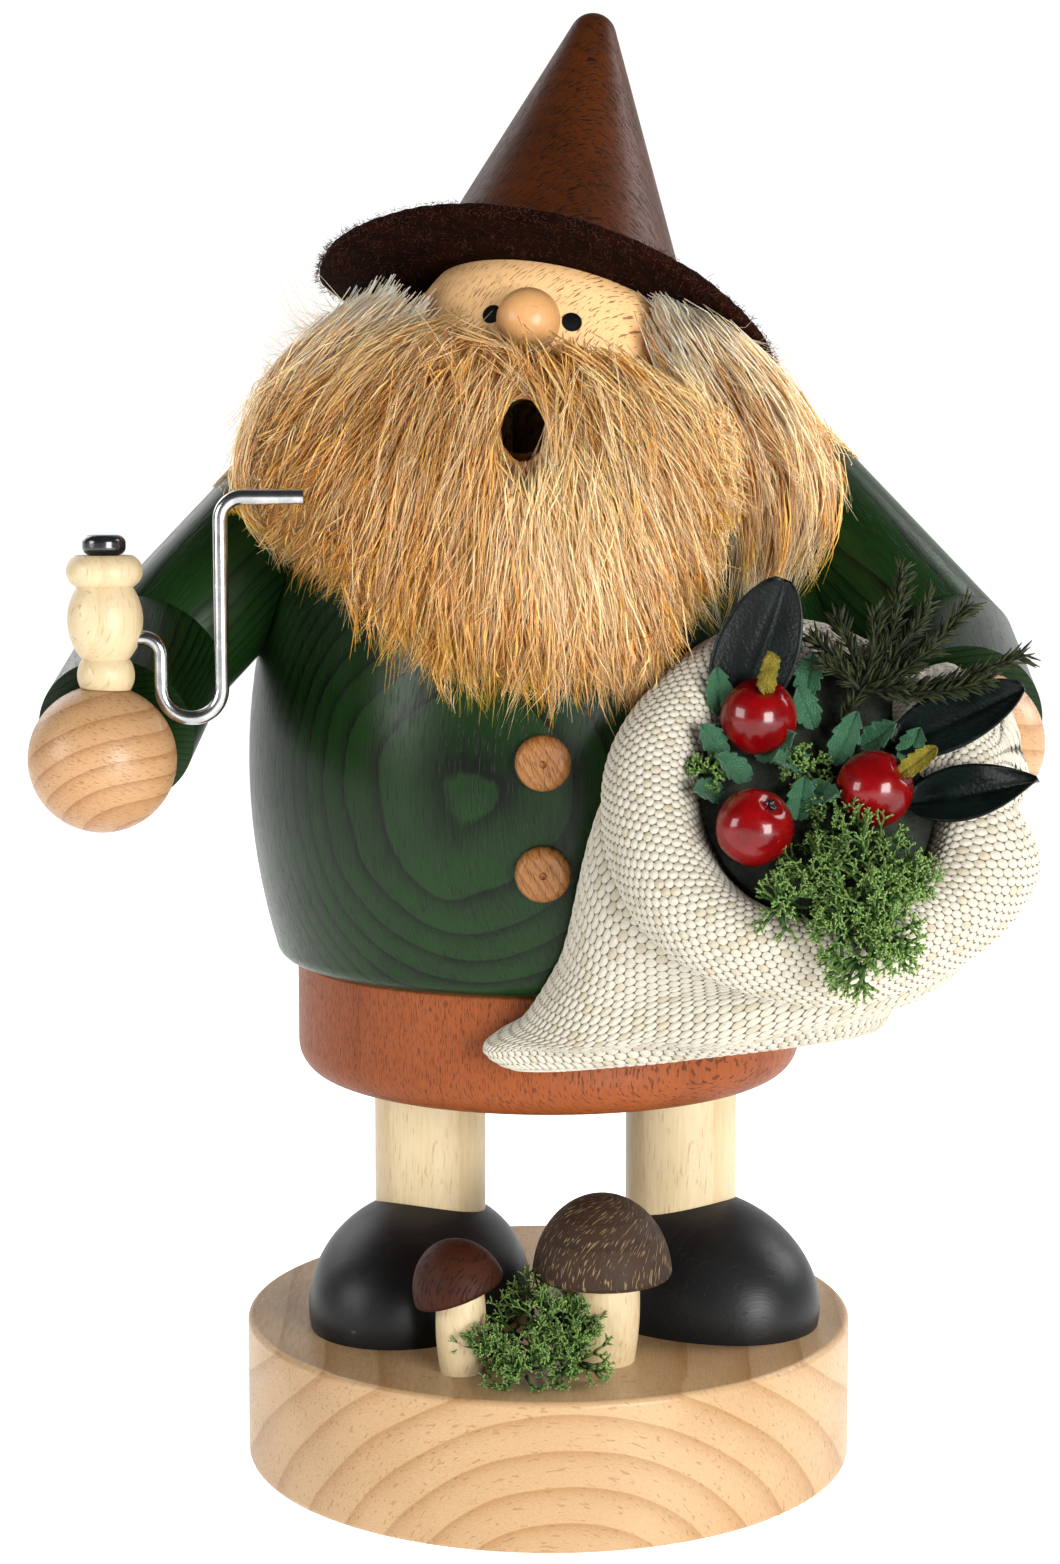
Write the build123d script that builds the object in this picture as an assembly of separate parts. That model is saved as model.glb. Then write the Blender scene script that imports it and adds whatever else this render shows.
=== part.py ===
"""Turned wooden incense smoker: a bearded gnome with pipe and berry sack on a round base.

Millimetres, +Z up, the figure faces -Y. The origin is the centre of the base's underside.
Right and left are the figure's own: right is the -X side.
"""

from build123d import *
from functools import cache
from math import asin, atan2, cos, hypot, radians, sin, sqrt, tan
import os

SIDES = {"right": -1, "left": 1}

# Clearances
GLUE_GAP = 0.05          # around every glued dowel and socket
SEAT_GAP = 0.1           # between glued curved faces
SOFT_GAP = 0.3           # round cloth, felt, fur, moss and wadding
SPIGOT_CLEARANCE = 0.1   # radial, body on its spigot

# Base, shoes and legs
BASE_DIAMETER = 85.0
BASE_THICK = 20.0
BASE_EASE = 0.8
SHOE_LENGTH = 38.5
SHOE_WIDTH = 29.2
SHOE_HEIGHT = 17.0
SHOE_SOLE = 7.0
SHOE_TOE = 11.8          # radius of the rounded toe and heel
SHOE_SPLAY = {"right": 26.0, "left": 44.0}
SHOE_REACH = 3.0         # shoe's middle in front of the leg
LEG_DIAMETER = 15.6
LEG_X = {"right": -16.7, "left": 18.7}
LEG_SHOW = 34.7          # base top to trousers
LEG_SOCKET = 6.0
PIN_DIAMETER = 6.0
PIN_IN_BASE = 9.0
PIN_IN_LEG = 7.0

# Trousers and what they carry
TROUSERS_DIAMETER = 70.0
TROUSERS_HEIGHT = 16.3
TROUSERS_ROUND = 4.5
SEAM_EASE = 0.6
SPIGOT_HEIGHT = 8.0
DRAUGHT_DIAMETER = 5.0
DRAUGHT_MARGIN = 2.0     # wood between a draught hole and the spigot's side
PLATE_DIAMETER = 30.0
PLATE_THICK = 0.6
PLATE_LIP = 1.4
PLATE_GAP = 0.15
TACK_HEAD = 3.2
TACK_HEAD_RISE = 0.7
TACK_HEAD_ROUND = 0.55
TACK_SHANK = 1.2
TACK_LENGTH = 6.0
TACK_SPACING = 20.0

# Body
BODY_HEIGHT = 67.5
BODY_SEAM_DIAMETER = 74.6
BODY_DIAMETER = 83.0
BODY_WIDEST = 27.0       # height of the widest ring above the seam
BODY_SHOULDER = 48.0     # height above the seam where the barrel turns in
BODY_TOP_DIAMETER = 40.0
BODY_ROUND = 2.6
CHAMBER_DIAMETER = 48.0
CHAMBER_HEIGHT = 44.0
CHAMBER_ROOF = 10.0
DUCT_DIAMETER = 10.0
BUTTON_DIAMETER = 7.0
BUTTON_RISE = 2.4
BUTTON_ROUND = 1.4
BUTTON_DIMPLE = 1.0
BUTTON_X = -1.0
BUTTON_HEIGHTS = {"button_upper": 30.8, "button_lower": 16.8}

# Arms
ARM_DIAMETER = 19.8
SHOULDER_INSET = 9.5     # shoulder point inside the barrel's widest ring
SHOULDER_DROP = 2.6      # below the body's top
UPPER_ARM_OUT = 20.7
UPPER_ARM_FORWARD = 13.0
UPPER_ARM_DOWN = 22.9
FOREARM_LENGTH = 25.2
FOREARM_SLOPE = {"right": 0.33, "left": 0.26}     # drop per unit forward
FOREARM_SPREAD = {"right": 0.08, "left": -0.04}   # outwards per unit forward
ARM_EASE = 0.8
ARM_PIN_LENGTH = 16.0
ARM_PIN_DROP = 11.5      # below the body's top
HAND_DIAMETER = 18.2
HAND_SEAT = 1.0

# Head
HEAD_DIAMETER = 42.0
HEAD_RISE = 11.0         # head's centre above the body's top
FACE_TURN = -10.0        # towards the figure's right
FACE_ROLL = 6.0
EYE_DIAMETER = 2.6
EYE_LENGTH = 4.0
EYE_SPREAD = 16.0
EYE_LIFT = 23.0
NOSE_DIAMETER = 8.3
NOSE_LIFT = 20.5
NOSE_STAND = 1.4         # nose's centre outside the head's skin
MOUTH_DIAMETER = 7.0
MOUTH_X = -3.6
MOUTH_DROP = 5.9         # below the head's centre

# Hat
HAT_TILT = 13.0          # backwards
CONE_LEAN = 8.7          # towards the figure's left
BRIM_LEAN = 13.6
HAT_SEAT = 13.6          # brim's top above the head's centre
HAT_SHIFT = -2.4         # hat's middle towards the figure's right
BRIM_DIAMETER = 65.2
BRIM_THICK = 2.0
BRIM_BEND = 122.0        # radius of the brim's sideways droop
CONE_DIAMETER = 37.0
CONE_HEIGHT = 39.5
CONE_SKIRT = 6.0         # spare length below, cut away by the felt's curve
CONE_TIP = 3.3
HAT_PIN_LENGTH = 18.0

# Pipe
PIPE_HEIGHT = 15.9
PIPE_FOOT_DIAMETER = 7.0
PIPE_FOOT_HEIGHT = 3.2
PIPE_NECK_DIAMETER = 5.8
PIPE_BELLY_DIAMETER = 9.2
PIPE_WAIST_DIAMETER = 6.9
PIPE_WAIST_HEIGHT = 12.0
PIPE_RIM_DIAMETER = 9.3
PIPE_CAP_DIAMETER = 5.3
PIPE_CAP_HEIGHT = 2.5
PIPE_CAP_ROUND = 1.0
PIPE_STUB_LENGTH = 4.8
PIPE_BORE = 4.0
PIPE_BORE_DEPTH = 6.0
PIPE_PEG = 3.0
PIPE_PEG_LENGTH = 4.0
PIPE_SHIFT = 0.6
WIRE_DIAMETER = 1.8
WIRE_SOCKET = 3.0
WIRE_HEIGHT = 5.8        # above the pipe's foot
WIRE_OUT = 6.8           # bowl's axis to the first bend
WIRE_LOOP_WIDTH = 7.4
WIRE_LOOP_DEPTH = 9.8
WIRE_RISE = 27.0
WIRE_MOUTHPIECE = 10.2
WIRE_BENDS = (2.2, 3.6, 3.6, 2.8)

# Fur, as level sections: height above the body's top, half width, front ahead of the barrel, half depth
BEARD_SECTIONS = (
    (-28.0, 7.0, 5.5, 4.0),
    (-20.5, 16.0, 7.0, 12.5),
    (-10.5, 24.5, 5.5, 23.0),
    (-0.5, 41.0, 0.5, 28.0),
    (9.5, 33.0, -8.5, 23.0),
    (18.5, 21.0, -16.5, 16.0),
)
BEARD_HOLE = 8.0
FUR_PARTING = -8.0       # plane where beard and hair meet
HAIR_SECTIONS = (
    (-17.5, 40.0, 40.0),
    (-6.5, 42.0, 36.0),
    (1.5, 41.0, 31.0),
    (11.5, 33.0, 27.0),
    (21.5, 25.0, 24.0),
    (27.5, 20.0, 20.0),
)
HAIR_BACK = 2.0          # the hair's sections stand this far behind the axis

# Sack
SACK_ASIDE = 18.4        # mouth's centre from the left hand's centre, towards the figure's right
SACK_AHEAD = 11.8
SACK_BELOW = 3.6
SACK_TILT = 30.0         # the mouth looks up by this much
GRIP_SLOPE = 0.3         # rise per unit forward of the gap that the hand presses into the collar
MOUTH_WIDE = 34.0
MOUTH_TALL = 36.0
COLLAR_WIDE = 53.0
COLLAR_TALL = 50.0
COLLAR_DEPTH = 9.0
COLLAR_ROLL = 5.0        # how far the lip rounds in
POUCH_WIDE = 54.0
POUCH_THICK = 23.0
POUCH_BOTTOM_WIDE = 50.0
POUCH_BOTTOM_THICK = 9.0
POUCH_DROP = 36.0        # mouth's centre to the bottom seam
POUCH_SWING = -15.0      # bottom seam's centre towards the figure's right
POUCH_SEAM_ANGLES = (14.0, -9.6, -5.7)
BELLY_DROP = 21.6
BELLY_SWING = -6.0
BELLY_STAND = 3.0        # belly's middle in front of the barrel
BELLY_ANGLES = (22.0, -12.0, -5.7)
CAVITY_DEPTH = 12.0
CAVITY_TAPER = 3.0
STUFFING_SINK = 2.2

# Trimmings in the sack, placed on the mouth's plane as (across, up, out)
APPLE_DIAMETER = 9.2
APPLE_DIMPLE = 1.4
APPLES = {
    "apple_upper": (-8.3, 8.0, 1.4),
    "apple_right": (5.1, -1.4, 1.5),
    "apple_lower": (-9.3, -6.5, 1.9),
}
STALK_DIAMETER = 1.6
STALK_LENGTH = 5.0
STALK_TILT = {"apple_upper": (10.0, 60.0), "apple_right": (70.0, 35.0)}
LEAF_WIDTH = {"leaf_upper": 7.4, "leaf_side_high": 6.4, "leaf_side_low": 6.2}
LEAF_THICK = 0.6
LEAF_CUP = 10.0          # radius of a leaf's hollow
LEAVES = {
    "leaf_upper": ((-7.4, 11.9, -1.8), (-5.8, 23.6, 8.2)),
    "leaf_side_high": ((8.5, 5.5, -2.0), (22.3, 8.0, 5.5)),
    "leaf_side_low": ((10.5, -2.5, -2.0), (22.8, -2.3, 5.5)),
}
CLOTH_LEAF_LENGTH = 6.0
CLOTH_LEAF_WIDTH = 3.0
CLOTH_LEAF_THICK = 0.5
CLOTH_LEAF_ROOTS = ((-2.5, 11.5), (1.5, 5.0), (-3.5, -1.0), (-8.0, 0.8), (-2.5, 3.0))
CLOTH_LEAF_ANGLES = (80.0, 75.0, 300.0, 175.0, 200.0)
SPRIG_DIAMETER = 1.2
SPRIG_ROOT = (1.0, 10.0, -1.4)
SPRIG_FORK = (5.0, 13.5, 1.5)
SPRIG_TIPS = ((8.9, 27.4, 3.0), (17.1, 20.4, 4.0), (23.4, 14.5, 5.0), (19.6, 12.0, 6.5))
SACK_MOSS = (
    ((1.0, -9.5, 0.5), 5.2),
    ((-5.5, -14.0, 1.5), 4.2),
    ((6.5, -13.0, 2.0), 4.6),
    ((1.0, -17.5, 3.2), 5.2),
    ((3.5, -23.5, 2.0), 4.2),
)

# Mushrooms and moss on the base
MUSHROOMS = {
    "mushroom_large": {"x": 7.0, "y": -24.5, "cap": 18.6, "rise": 11.0, "stem": 10.0, "height": 11.5},
    "mushroom_small": {"x": -11.7, "y": -29.5, "cap": 12.4, "rise": 7.4, "stem": 6.6, "height": 10.5},
}
CAP_TILT = {"mushroom_large": 0.0, "mushroom_small": -20.0}
CAP_ROUND = 0.8
STEM_BULGE = 0.6
STEM_PEG = 3.0
STEM_PEG_LENGTH = 4.0
BASE_MOSS = (
    ((-3.0, -30.0, 4.0), 6.6),
    ((-8.0, -33.0, 3.0), 4.4),
    ((3.0, -33.0, 3.0), 4.8),
    ((-3.5, -34.5, 2.5), 4.4),
    ((-1.0, -26.5, 7.0), 5.0),
)

# Levels and shared places, worked out from the sizes above
TROUSERS_BOTTOM = BASE_THICK + LEG_SHOW
SEAM = TROUSERS_BOTTOM + TROUSERS_HEIGHT
BODY_TOP = SEAM + BODY_HEIGHT
HEAD_CENTRE = Vector(0, 0, BODY_TOP + HEAD_RISE)
BODY_RADIUS = BODY_DIAMETER / 2
BARREL_SAG = (BODY_DIAMETER - BODY_SEAM_DIAMETER) / 2
BARREL_ARC = (BODY_WIDEST**2 + BARREL_SAG**2) / (2 * BARREL_SAG)
STANDING = (Align.CENTER, Align.CENTER, Align.MIN)
HANGING = (Align.CENTER, Align.CENTER, Align.MAX)
BRIM_UP = Vector(tan(radians(BRIM_LEAN)), tan(radians(HAT_TILT)), 1).normalized()
CONE_UP = Vector(tan(radians(CONE_LEAN)), tan(radians(HAT_TILT)), 1).normalized()
BRIM_ACROSS = Vector(0, 1, 0).cross(BRIM_UP).normalized()
HAT_CENTRE = HEAD_CENTRE + BRIM_UP * HAT_SEAT + BRIM_ACROSS * HAT_SHIFT
BRIM_PLANE = Plane(origin=HAT_CENTRE, x_dir=BRIM_ACROSS, z_dir=BRIM_UP)
SACK_OUT = Vector(0, -cos(radians(SACK_TILT)), sin(radians(SACK_TILT)))


def standing_rod(diameter, length, x=0.0, y=0.0, z=0.0):
    """An upright round bar that starts at height z."""
    return Pos(x, y, z) * Cylinder(diameter / 2, length, align=STANDING)


def rod(start, end, diameter):
    """A round bar from one point to another."""
    run = Vector(end) - Vector(start)
    return Plane(origin=start, z_dir=run) * Cylinder(diameter / 2, run.length, align=STANDING)


def ball(centre, diameter):
    """A ball about a point."""
    return Pos(*Vector(centre)) * Sphere(diameter / 2)


def turned(*edges):
    """Spin a half profile, drawn as radius and height, about the Z axis."""
    return revolve(Plane.XZ * make_face(edges), axis=Axis.Z)


def group(shapes):
    """Several separate solids that share one node."""
    return Compound(children=list(shapes))


def barrel_radius(height):
    """Outer radius of the body at a height above the seam, below the shoulder."""
    off = height - BODY_WIDEST
    return BODY_RADIUS - BARREL_ARC + sqrt(BARREL_ARC**2 - off**2)


def body_form(grow=0.0):
    """Outer form of the body: a barrel arc that turns in to the shoulder and a flat top."""
    seam = (BODY_SEAM_DIAMETER / 2 + grow, SEAM - grow)
    widest = (BODY_RADIUS + grow, SEAM + BODY_WIDEST)
    shoulder = (barrel_radius(BODY_SHOULDER) + grow, SEAM + BODY_SHOULDER)
    barrel = ThreePointArc(seam, widest, shoulder)
    top = (BODY_TOP_DIAMETER / 2, BODY_TOP + grow)
    turn_in = TangentArc(shoulder, top, tangent=barrel % 1)
    return turned(barrel, turn_in, Polyline(top, (0, BODY_TOP + grow), (0, SEAM - grow), seam))


def base_disc():
    board = standing_rod(BASE_DIAMETER, BASE_THICK)
    board = fillet(board.edges().filter_by(GeomType.CIRCLE), BASE_EASE)
    for x in LEG_X.values():
        board -= standing_rod(PIN_DIAMETER + 2 * GLUE_GAP, PIN_IN_BASE, x, 0, BASE_THICK - PIN_IN_BASE)
    for mushroom in MUSHROOMS.values():
        board -= standing_rod(STEM_PEG + 2 * GLUE_GAP, STEM_PEG_LENGTH, mushroom["x"], mushroom["y"],
                              BASE_THICK - STEM_PEG_LENGTH)
    return board


def shoe(side):
    """Half of a turned egg, sole down, with a socket for the leg."""
    long, wide = SHOE_LENGTH / 2, SHOE_WIDTH / 2
    flank = (long**2 + wide**2 - 2 * long * SHOE_TOE) / (2 * (wide - SHOE_TOE))
    turn = atan2(flank - wide, long - SHOE_TOE)
    joint = (long - SHOE_TOE + SHOE_TOE * cos(turn), SHOE_TOE * sin(turn))
    toe_mid = (long - SHOE_TOE + SHOE_TOE * cos(turn / 2), SHOE_TOE * sin(turn / 2))
    edges = [
        ThreePointArc((long, 0), toe_mid, joint),
        ThreePointArc(joint, (0, wide), (-joint[0], joint[1])),
        ThreePointArc((-joint[0], joint[1]), (-toe_mid[0], toe_mid[1]), (-long, 0)),
        Line((-long, 0), (long, 0)),
    ]
    egg = revolve(make_face(edges), axis=Axis.X)
    sole = SHOE_HEIGHT - SHOE_WIDTH / 2
    egg &= Pos(0, 0, -sole) * Box(SHOE_LENGTH, SHOE_WIDTH, SHOE_WIDTH + SHOE_HEIGHT, align=STANDING)
    toe = -90 + SIDES[side] * SHOE_SPLAY[side]
    egg = Pos(LEG_X[side], 0, BASE_THICK + sole) * Rot(0, 0, toe) * Pos(SHOE_REACH, 0, 0) * egg
    egg -= standing_rod(LEG_DIAMETER + 2 * GLUE_GAP, SHOE_HEIGHT, LEG_X[side], 0, BASE_THICK + SHOE_SOLE)
    return egg - standing_rod(PIN_DIAMETER + 2 * GLUE_GAP, SHOE_HEIGHT, LEG_X[side], 0, BASE_THICK)


def leg(side):
    foot = BASE_THICK + SHOE_SOLE
    bar = standing_rod(LEG_DIAMETER, TROUSERS_BOTTOM + LEG_SOCKET - foot, LEG_X[side], 0, foot)
    return bar - standing_rod(PIN_DIAMETER + 2 * GLUE_GAP, PIN_IN_LEG, LEG_X[side], 0, foot)


def leg_pins():
    length = PIN_IN_BASE + SHOE_SOLE + PIN_IN_LEG
    return group(standing_rod(PIN_DIAMETER, length, x, 0, BASE_THICK - PIN_IN_BASE) for x in LEG_X.values())


def trousers_form(grow=0.0):
    """The turned block without its holes."""
    block = standing_rod(TROUSERS_DIAMETER + 2 * grow, TROUSERS_HEIGHT, z=TROUSERS_BOTTOM)
    rims = block.edges().filter_by(GeomType.CIRCLE).sort_by(Axis.Z)
    block = fillet(rims[0], TROUSERS_ROUND)
    return fillet(block.edges().filter_by(GeomType.CIRCLE).sort_by(Axis.Z)[-1], SEAM_EASE)


def tack_places():
    return [(x, 0, SEAM + SPIGOT_HEIGHT) for x in (-TACK_SPACING / 2, TACK_SPACING / 2)]


def trousers():
    """Block with leg sockets, the spigot that carries the body, draught holes and the plate's recess."""
    spigot = CHAMBER_DIAMETER / 2 - SPIGOT_CLEARANCE
    top = SEAM + SPIGOT_HEIGHT
    root = TROUSERS_BOTTOM + LEG_SOCKET
    block = trousers_form() + standing_rod(2 * spigot, top - root, z=root)
    for x in LEG_X.values():
        block -= standing_rod(LEG_DIAMETER + 2 * GLUE_GAP, LEG_SOCKET, x, 0, TROUSERS_BOTTOM)
    draught = spigot - DRAUGHT_MARGIN - DRAUGHT_DIAMETER / 2
    for y in (-draught, draught):
        block -= standing_rod(DRAUGHT_DIAMETER, top - TROUSERS_BOTTOM, 0, y, TROUSERS_BOTTOM)
    block -= standing_rod(PLATE_DIAMETER + 2 * PLATE_GAP, PLATE_THICK, z=top - PLATE_THICK)
    for place in tack_places():
        block -= Pos(*place) * Cylinder(TACK_SHANK / 2 + GLUE_GAP, TACK_LENGTH, align=HANGING)
    return block


def incense_plate():
    """Tin plate with a turned-up lip, tacked into its recess."""
    top = SEAM + SPIGOT_HEIGHT
    plate = standing_rod(PLATE_DIAMETER, PLATE_THICK + PLATE_LIP, z=top - PLATE_THICK)
    plate -= standing_rod(PLATE_DIAMETER - 2 * PLATE_THICK, PLATE_LIP, z=top)
    for place in tack_places():
        plate -= Pos(*place) * Cylinder(TACK_SHANK / 2 + GLUE_GAP, PLATE_THICK, align=HANGING)
    return plate


def plate_tacks():
    tacks = []
    for place in tack_places():
        head = Pos(*place) * Cylinder(TACK_HEAD / 2, TACK_HEAD_RISE, align=STANDING)
        head = fillet(head.edges().filter_by(GeomType.CIRCLE).sort_by(Axis.Z)[-1], TACK_HEAD_ROUND)
        tacks.append(head + Pos(*place) * Cylinder(TACK_SHANK / 2, TACK_LENGTH, align=HANGING))
    return group(tacks)


def arm_points(side):
    """Shoulder, elbow and wrist of one arm, and the directions of its two dowels."""
    sign = SIDES[side]
    shoulder = Vector(sign * (BODY_RADIUS - SHOULDER_INSET), 0, BODY_TOP - SHOULDER_DROP)
    elbow = shoulder + Vector(sign * UPPER_ARM_OUT, -UPPER_ARM_FORWARD, -UPPER_ARM_DOWN)
    reach = Vector(sign * FOREARM_SPREAD[side], -1, -FOREARM_SLOPE[side]).normalized()
    return shoulder, elbow, elbow + reach * FOREARM_LENGTH, (elbow - shoulder).normalized(), reach


def elbow_plane(side):
    """The mitre between the two dowels of an arm, facing the hand."""
    _, elbow, _, upper, reach = arm_points(side)
    return Plane(origin=elbow, z_dir=upper + reach)


def arm_pin(side, diameter):
    """Dowel from the body's shoulder into the upper arm."""
    shoulder, elbow, _, upper, _ = arm_points(side)
    middle = shoulder + upper * ((ARM_PIN_DROP - SHOULDER_DROP) / -upper.Z)
    half = Vector(SIDES[side] * ARM_PIN_LENGTH / 2, 0, 0)
    centre = middle - half / 2
    return rod(centre - half, centre + half, diameter)


def upper_arm_form(side, diameter):
    shoulder, elbow, _, upper, _ = arm_points(side)
    bar = rod(shoulder, elbow + upper * diameter, diameter)
    bar = fillet(bar.edges().filter_by(GeomType.CIRCLE).sort_by_distance(shoulder)[0], ARM_EASE)
    return split(bar, bisect_by=elbow_plane(side), keep=Keep.BOTTOM)


def forearm_form(side, diameter):
    _, elbow, wrist, _, reach = arm_points(side)
    bar = rod(elbow - reach * diameter, wrist, diameter)
    return split(bar, bisect_by=elbow_plane(side), keep=Keep.TOP)


def upper_arm(side):
    """Dowel coped to the body's shoulder and mitred at the elbow."""
    bar = upper_arm_form(side, ARM_DIAMETER) - body_form(SEAT_GAP)
    return bar - arm_pin(side, PIN_DIAMETER + 2 * GLUE_GAP)


def hand_centre(side):
    _, _, wrist, _, reach = arm_points(side)
    return wrist + reach * (HAND_DIAMETER / 2 - HAND_SEAT)


def forearm(side):
    """Short dowel from the elbow's mitre to the hand's hollow seat."""
    bar = forearm_form(side, ARM_DIAMETER)
    return bar - ball(hand_centre(side), HAND_DIAMETER + 2 * SEAT_GAP)


def arm_pins():
    return group(arm_pin(side, PIN_DIAMETER) for side in SIDES)


def pipe_foot():
    """Where the pipe's foot stands on the right hand."""
    hand = hand_centre("right")
    return hand + Vector(PIPE_SHIFT, 0, HAND_DIAMETER / 2)


def hand(side):
    palm = ball(hand_centre(side), HAND_DIAMETER)
    if side == "right":
        foot = pipe_foot()
        palm -= Pos(*foot) * Cylinder(PIPE_PEG / 2 + GLUE_GAP, PIPE_PEG_LENGTH, align=HANGING)
    return palm


def button_place(name):
    """Plane on the body's front, looking out, for a button."""
    height = BUTTON_HEIGHTS[name]
    radius = barrel_radius(height)
    front = sqrt(radius**2 - BUTTON_X**2)
    return Plane(origin=(BUTTON_X, -front, SEAM + height), x_dir=(1, 0, 0), z_dir=(0, -1, 0))


def button(name):
    """Turned mushroom head with a centre dimple, coped to the barrel."""
    domed = Cylinder(BUTTON_DIAMETER / 2, 2 * BUTTON_RISE)
    domed = fillet(domed.edges().filter_by(GeomType.CIRCLE).sort_by(Axis.Z)[-1], BUTTON_ROUND)
    domed -= Pos(0, 0, BUTTON_RISE) * Sphere(BUTTON_DIMPLE / 2)
    return button_place(name) * domed - body_form(SEAT_GAP)


def button_rooms():
    """Space round the buttons that fur and cloth keep clear of."""
    room = Cylinder(BUTTON_DIAMETER / 2 + SOFT_GAP, 2 * (BUTTON_RISE + SOFT_GAP))
    return [button_place(name) * room for name in BUTTON_HEIGHTS]


def body_shell():
    """Hollow barrel: smoke chamber open below, roof cone, duct to the head."""
    shell = body_form()
    shell = fillet(shell.edges().filter_by(GeomType.CIRCLE).sort_by(Axis.Z)[0], BODY_ROUND)
    shell -= standing_rod(CHAMBER_DIAMETER, CHAMBER_HEIGHT, z=SEAM)
    roof = Cone(CHAMBER_DIAMETER / 2, DUCT_DIAMETER / 2, CHAMBER_ROOF, align=STANDING)
    shell -= Pos(0, 0, SEAM + CHAMBER_HEIGHT) * roof
    shell -= standing_rod(DUCT_DIAMETER, BODY_HEIGHT, z=SEAM)
    for side in SIDES:
        shell -= arm_pin(side, PIN_DIAMETER + 2 * GLUE_GAP)
    return shell


def face_spot(spread, lift, radius):
    """A point at a radius from the head's centre, by angles across and up the turned, tilted face."""
    flat = radius * cos(radians(lift))
    ahead = Vector(flat * sin(radians(spread)), -flat * cos(radians(spread)), radius * sin(radians(lift)))
    return HEAD_CENTRE + ahead.rotate(Axis.Y, FACE_ROLL).rotate(Axis.Z, FACE_TURN)


def brim_roller(radius, reach=BRIM_DIAMETER):
    """Long roller along the hat's front-to-back line: the brim is a sheet bent over it."""
    return BRIM_PLANE * (Pos(0, 0, -BRIM_BEND) * Rot(90, 0, 0) * Cylinder(radius, 2 * reach))


def hat_pin(diameter):
    half = CONE_UP * (HAT_PIN_LENGTH / 2)
    return rod(HAT_CENTRE - half, HAT_CENTRE + half, diameter)


def eye_hole(spread, diameter):
    """Round hole into the head's skin where an eye goes."""
    skin = HEAD_DIAMETER / 2
    inner = face_spot(spread, EYE_LIFT, skin - EYE_LENGTH)
    return rod(inner, face_spot(spread, EYE_LIFT, skin + EYE_LENGTH), diameter)


def eye(spread):
    """Black pin with a domed end, flush with the head's skin."""
    return eye_hole(spread, EYE_DIAMETER) & ball(HEAD_CENTRE, HEAD_DIAMETER)


def nose_centre():
    return face_spot(0, NOSE_LIFT, HEAD_DIAMETER / 2 + NOSE_STAND)


def mouth_bore(diameter, reach):
    """Straight bore towards the front, out of the duct."""
    start = Vector(MOUTH_X, 0, HEAD_CENTRE.Z - MOUTH_DROP)
    return rod(start, start + Vector(0, -reach, 0), diameter)


def head():
    """Ball with a flat neck, a top shaped to the brim, duct, mouth, eye holes and nose seat."""
    skull = ball(HEAD_CENTRE, HEAD_DIAMETER)
    skull &= Pos(0, 0, BODY_TOP) * Box(HEAD_DIAMETER, HEAD_DIAMETER, 2 * HEAD_DIAMETER, align=STANDING)
    skull &= brim_roller(BRIM_BEND - BRIM_THICK - SEAT_GAP)
    skull -= standing_rod(DUCT_DIAMETER, HEAD_RISE, z=BODY_TOP)
    skull -= mouth_bore(MOUTH_DIAMETER, HEAD_DIAMETER)
    skull -= ball(nose_centre(), NOSE_DIAMETER + 2 * SEAT_GAP)
    skull -= hat_pin(PIN_DIAMETER + 2 * GLUE_GAP)
    for spread in (-EYE_SPREAD, EYE_SPREAD):
        skull -= eye_hole(spread, EYE_DIAMETER + 2 * GLUE_GAP)
    return skull


def hat_brim():
    """Felt disc bent over the head so that both sides droop."""
    sheet = brim_roller(BRIM_BEND) - brim_roller(BRIM_BEND - BRIM_THICK)
    radius = BRIM_DIAMETER / 2
    sheet &= BRIM_PLANE * Pos(0, 0, BRIM_THICK) * Cylinder(radius, radius, align=HANGING)
    return sheet - hat_pin(PIN_DIAMETER + 2 * GLUE_GAP)


def hat_cone():
    """Turned cone with a round tip, hollowed underneath to sit on the bent felt."""
    foot = CONE_DIAMETER / 2
    tip_height = CONE_HEIGHT - CONE_TIP
    lean = atan2(foot, tip_height) - asin(CONE_TIP / hypot(foot, tip_height))
    touch = (CONE_TIP * cos(lean), tip_height + CONE_TIP * sin(lean))
    crown = (CONE_TIP * sin(radians(45) - lean / 2), tip_height + CONE_TIP * cos(radians(45) - lean / 2))
    rim = (foot + CONE_SKIRT * tan(lean), -CONE_SKIRT)
    side = Polyline((0, CONE_HEIGHT), (0, -CONE_SKIRT), rim, touch)
    cone = turned(side, ThreePointArc(touch, crown, (0, CONE_HEIGHT)))
    cone = Plane(origin=HAT_CENTRE, z_dir=CONE_UP) * cone
    return cone - brim_roller(BRIM_BEND + SEAT_GAP) - hat_pin(PIN_DIAMETER + 2 * GLUE_GAP)


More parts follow.
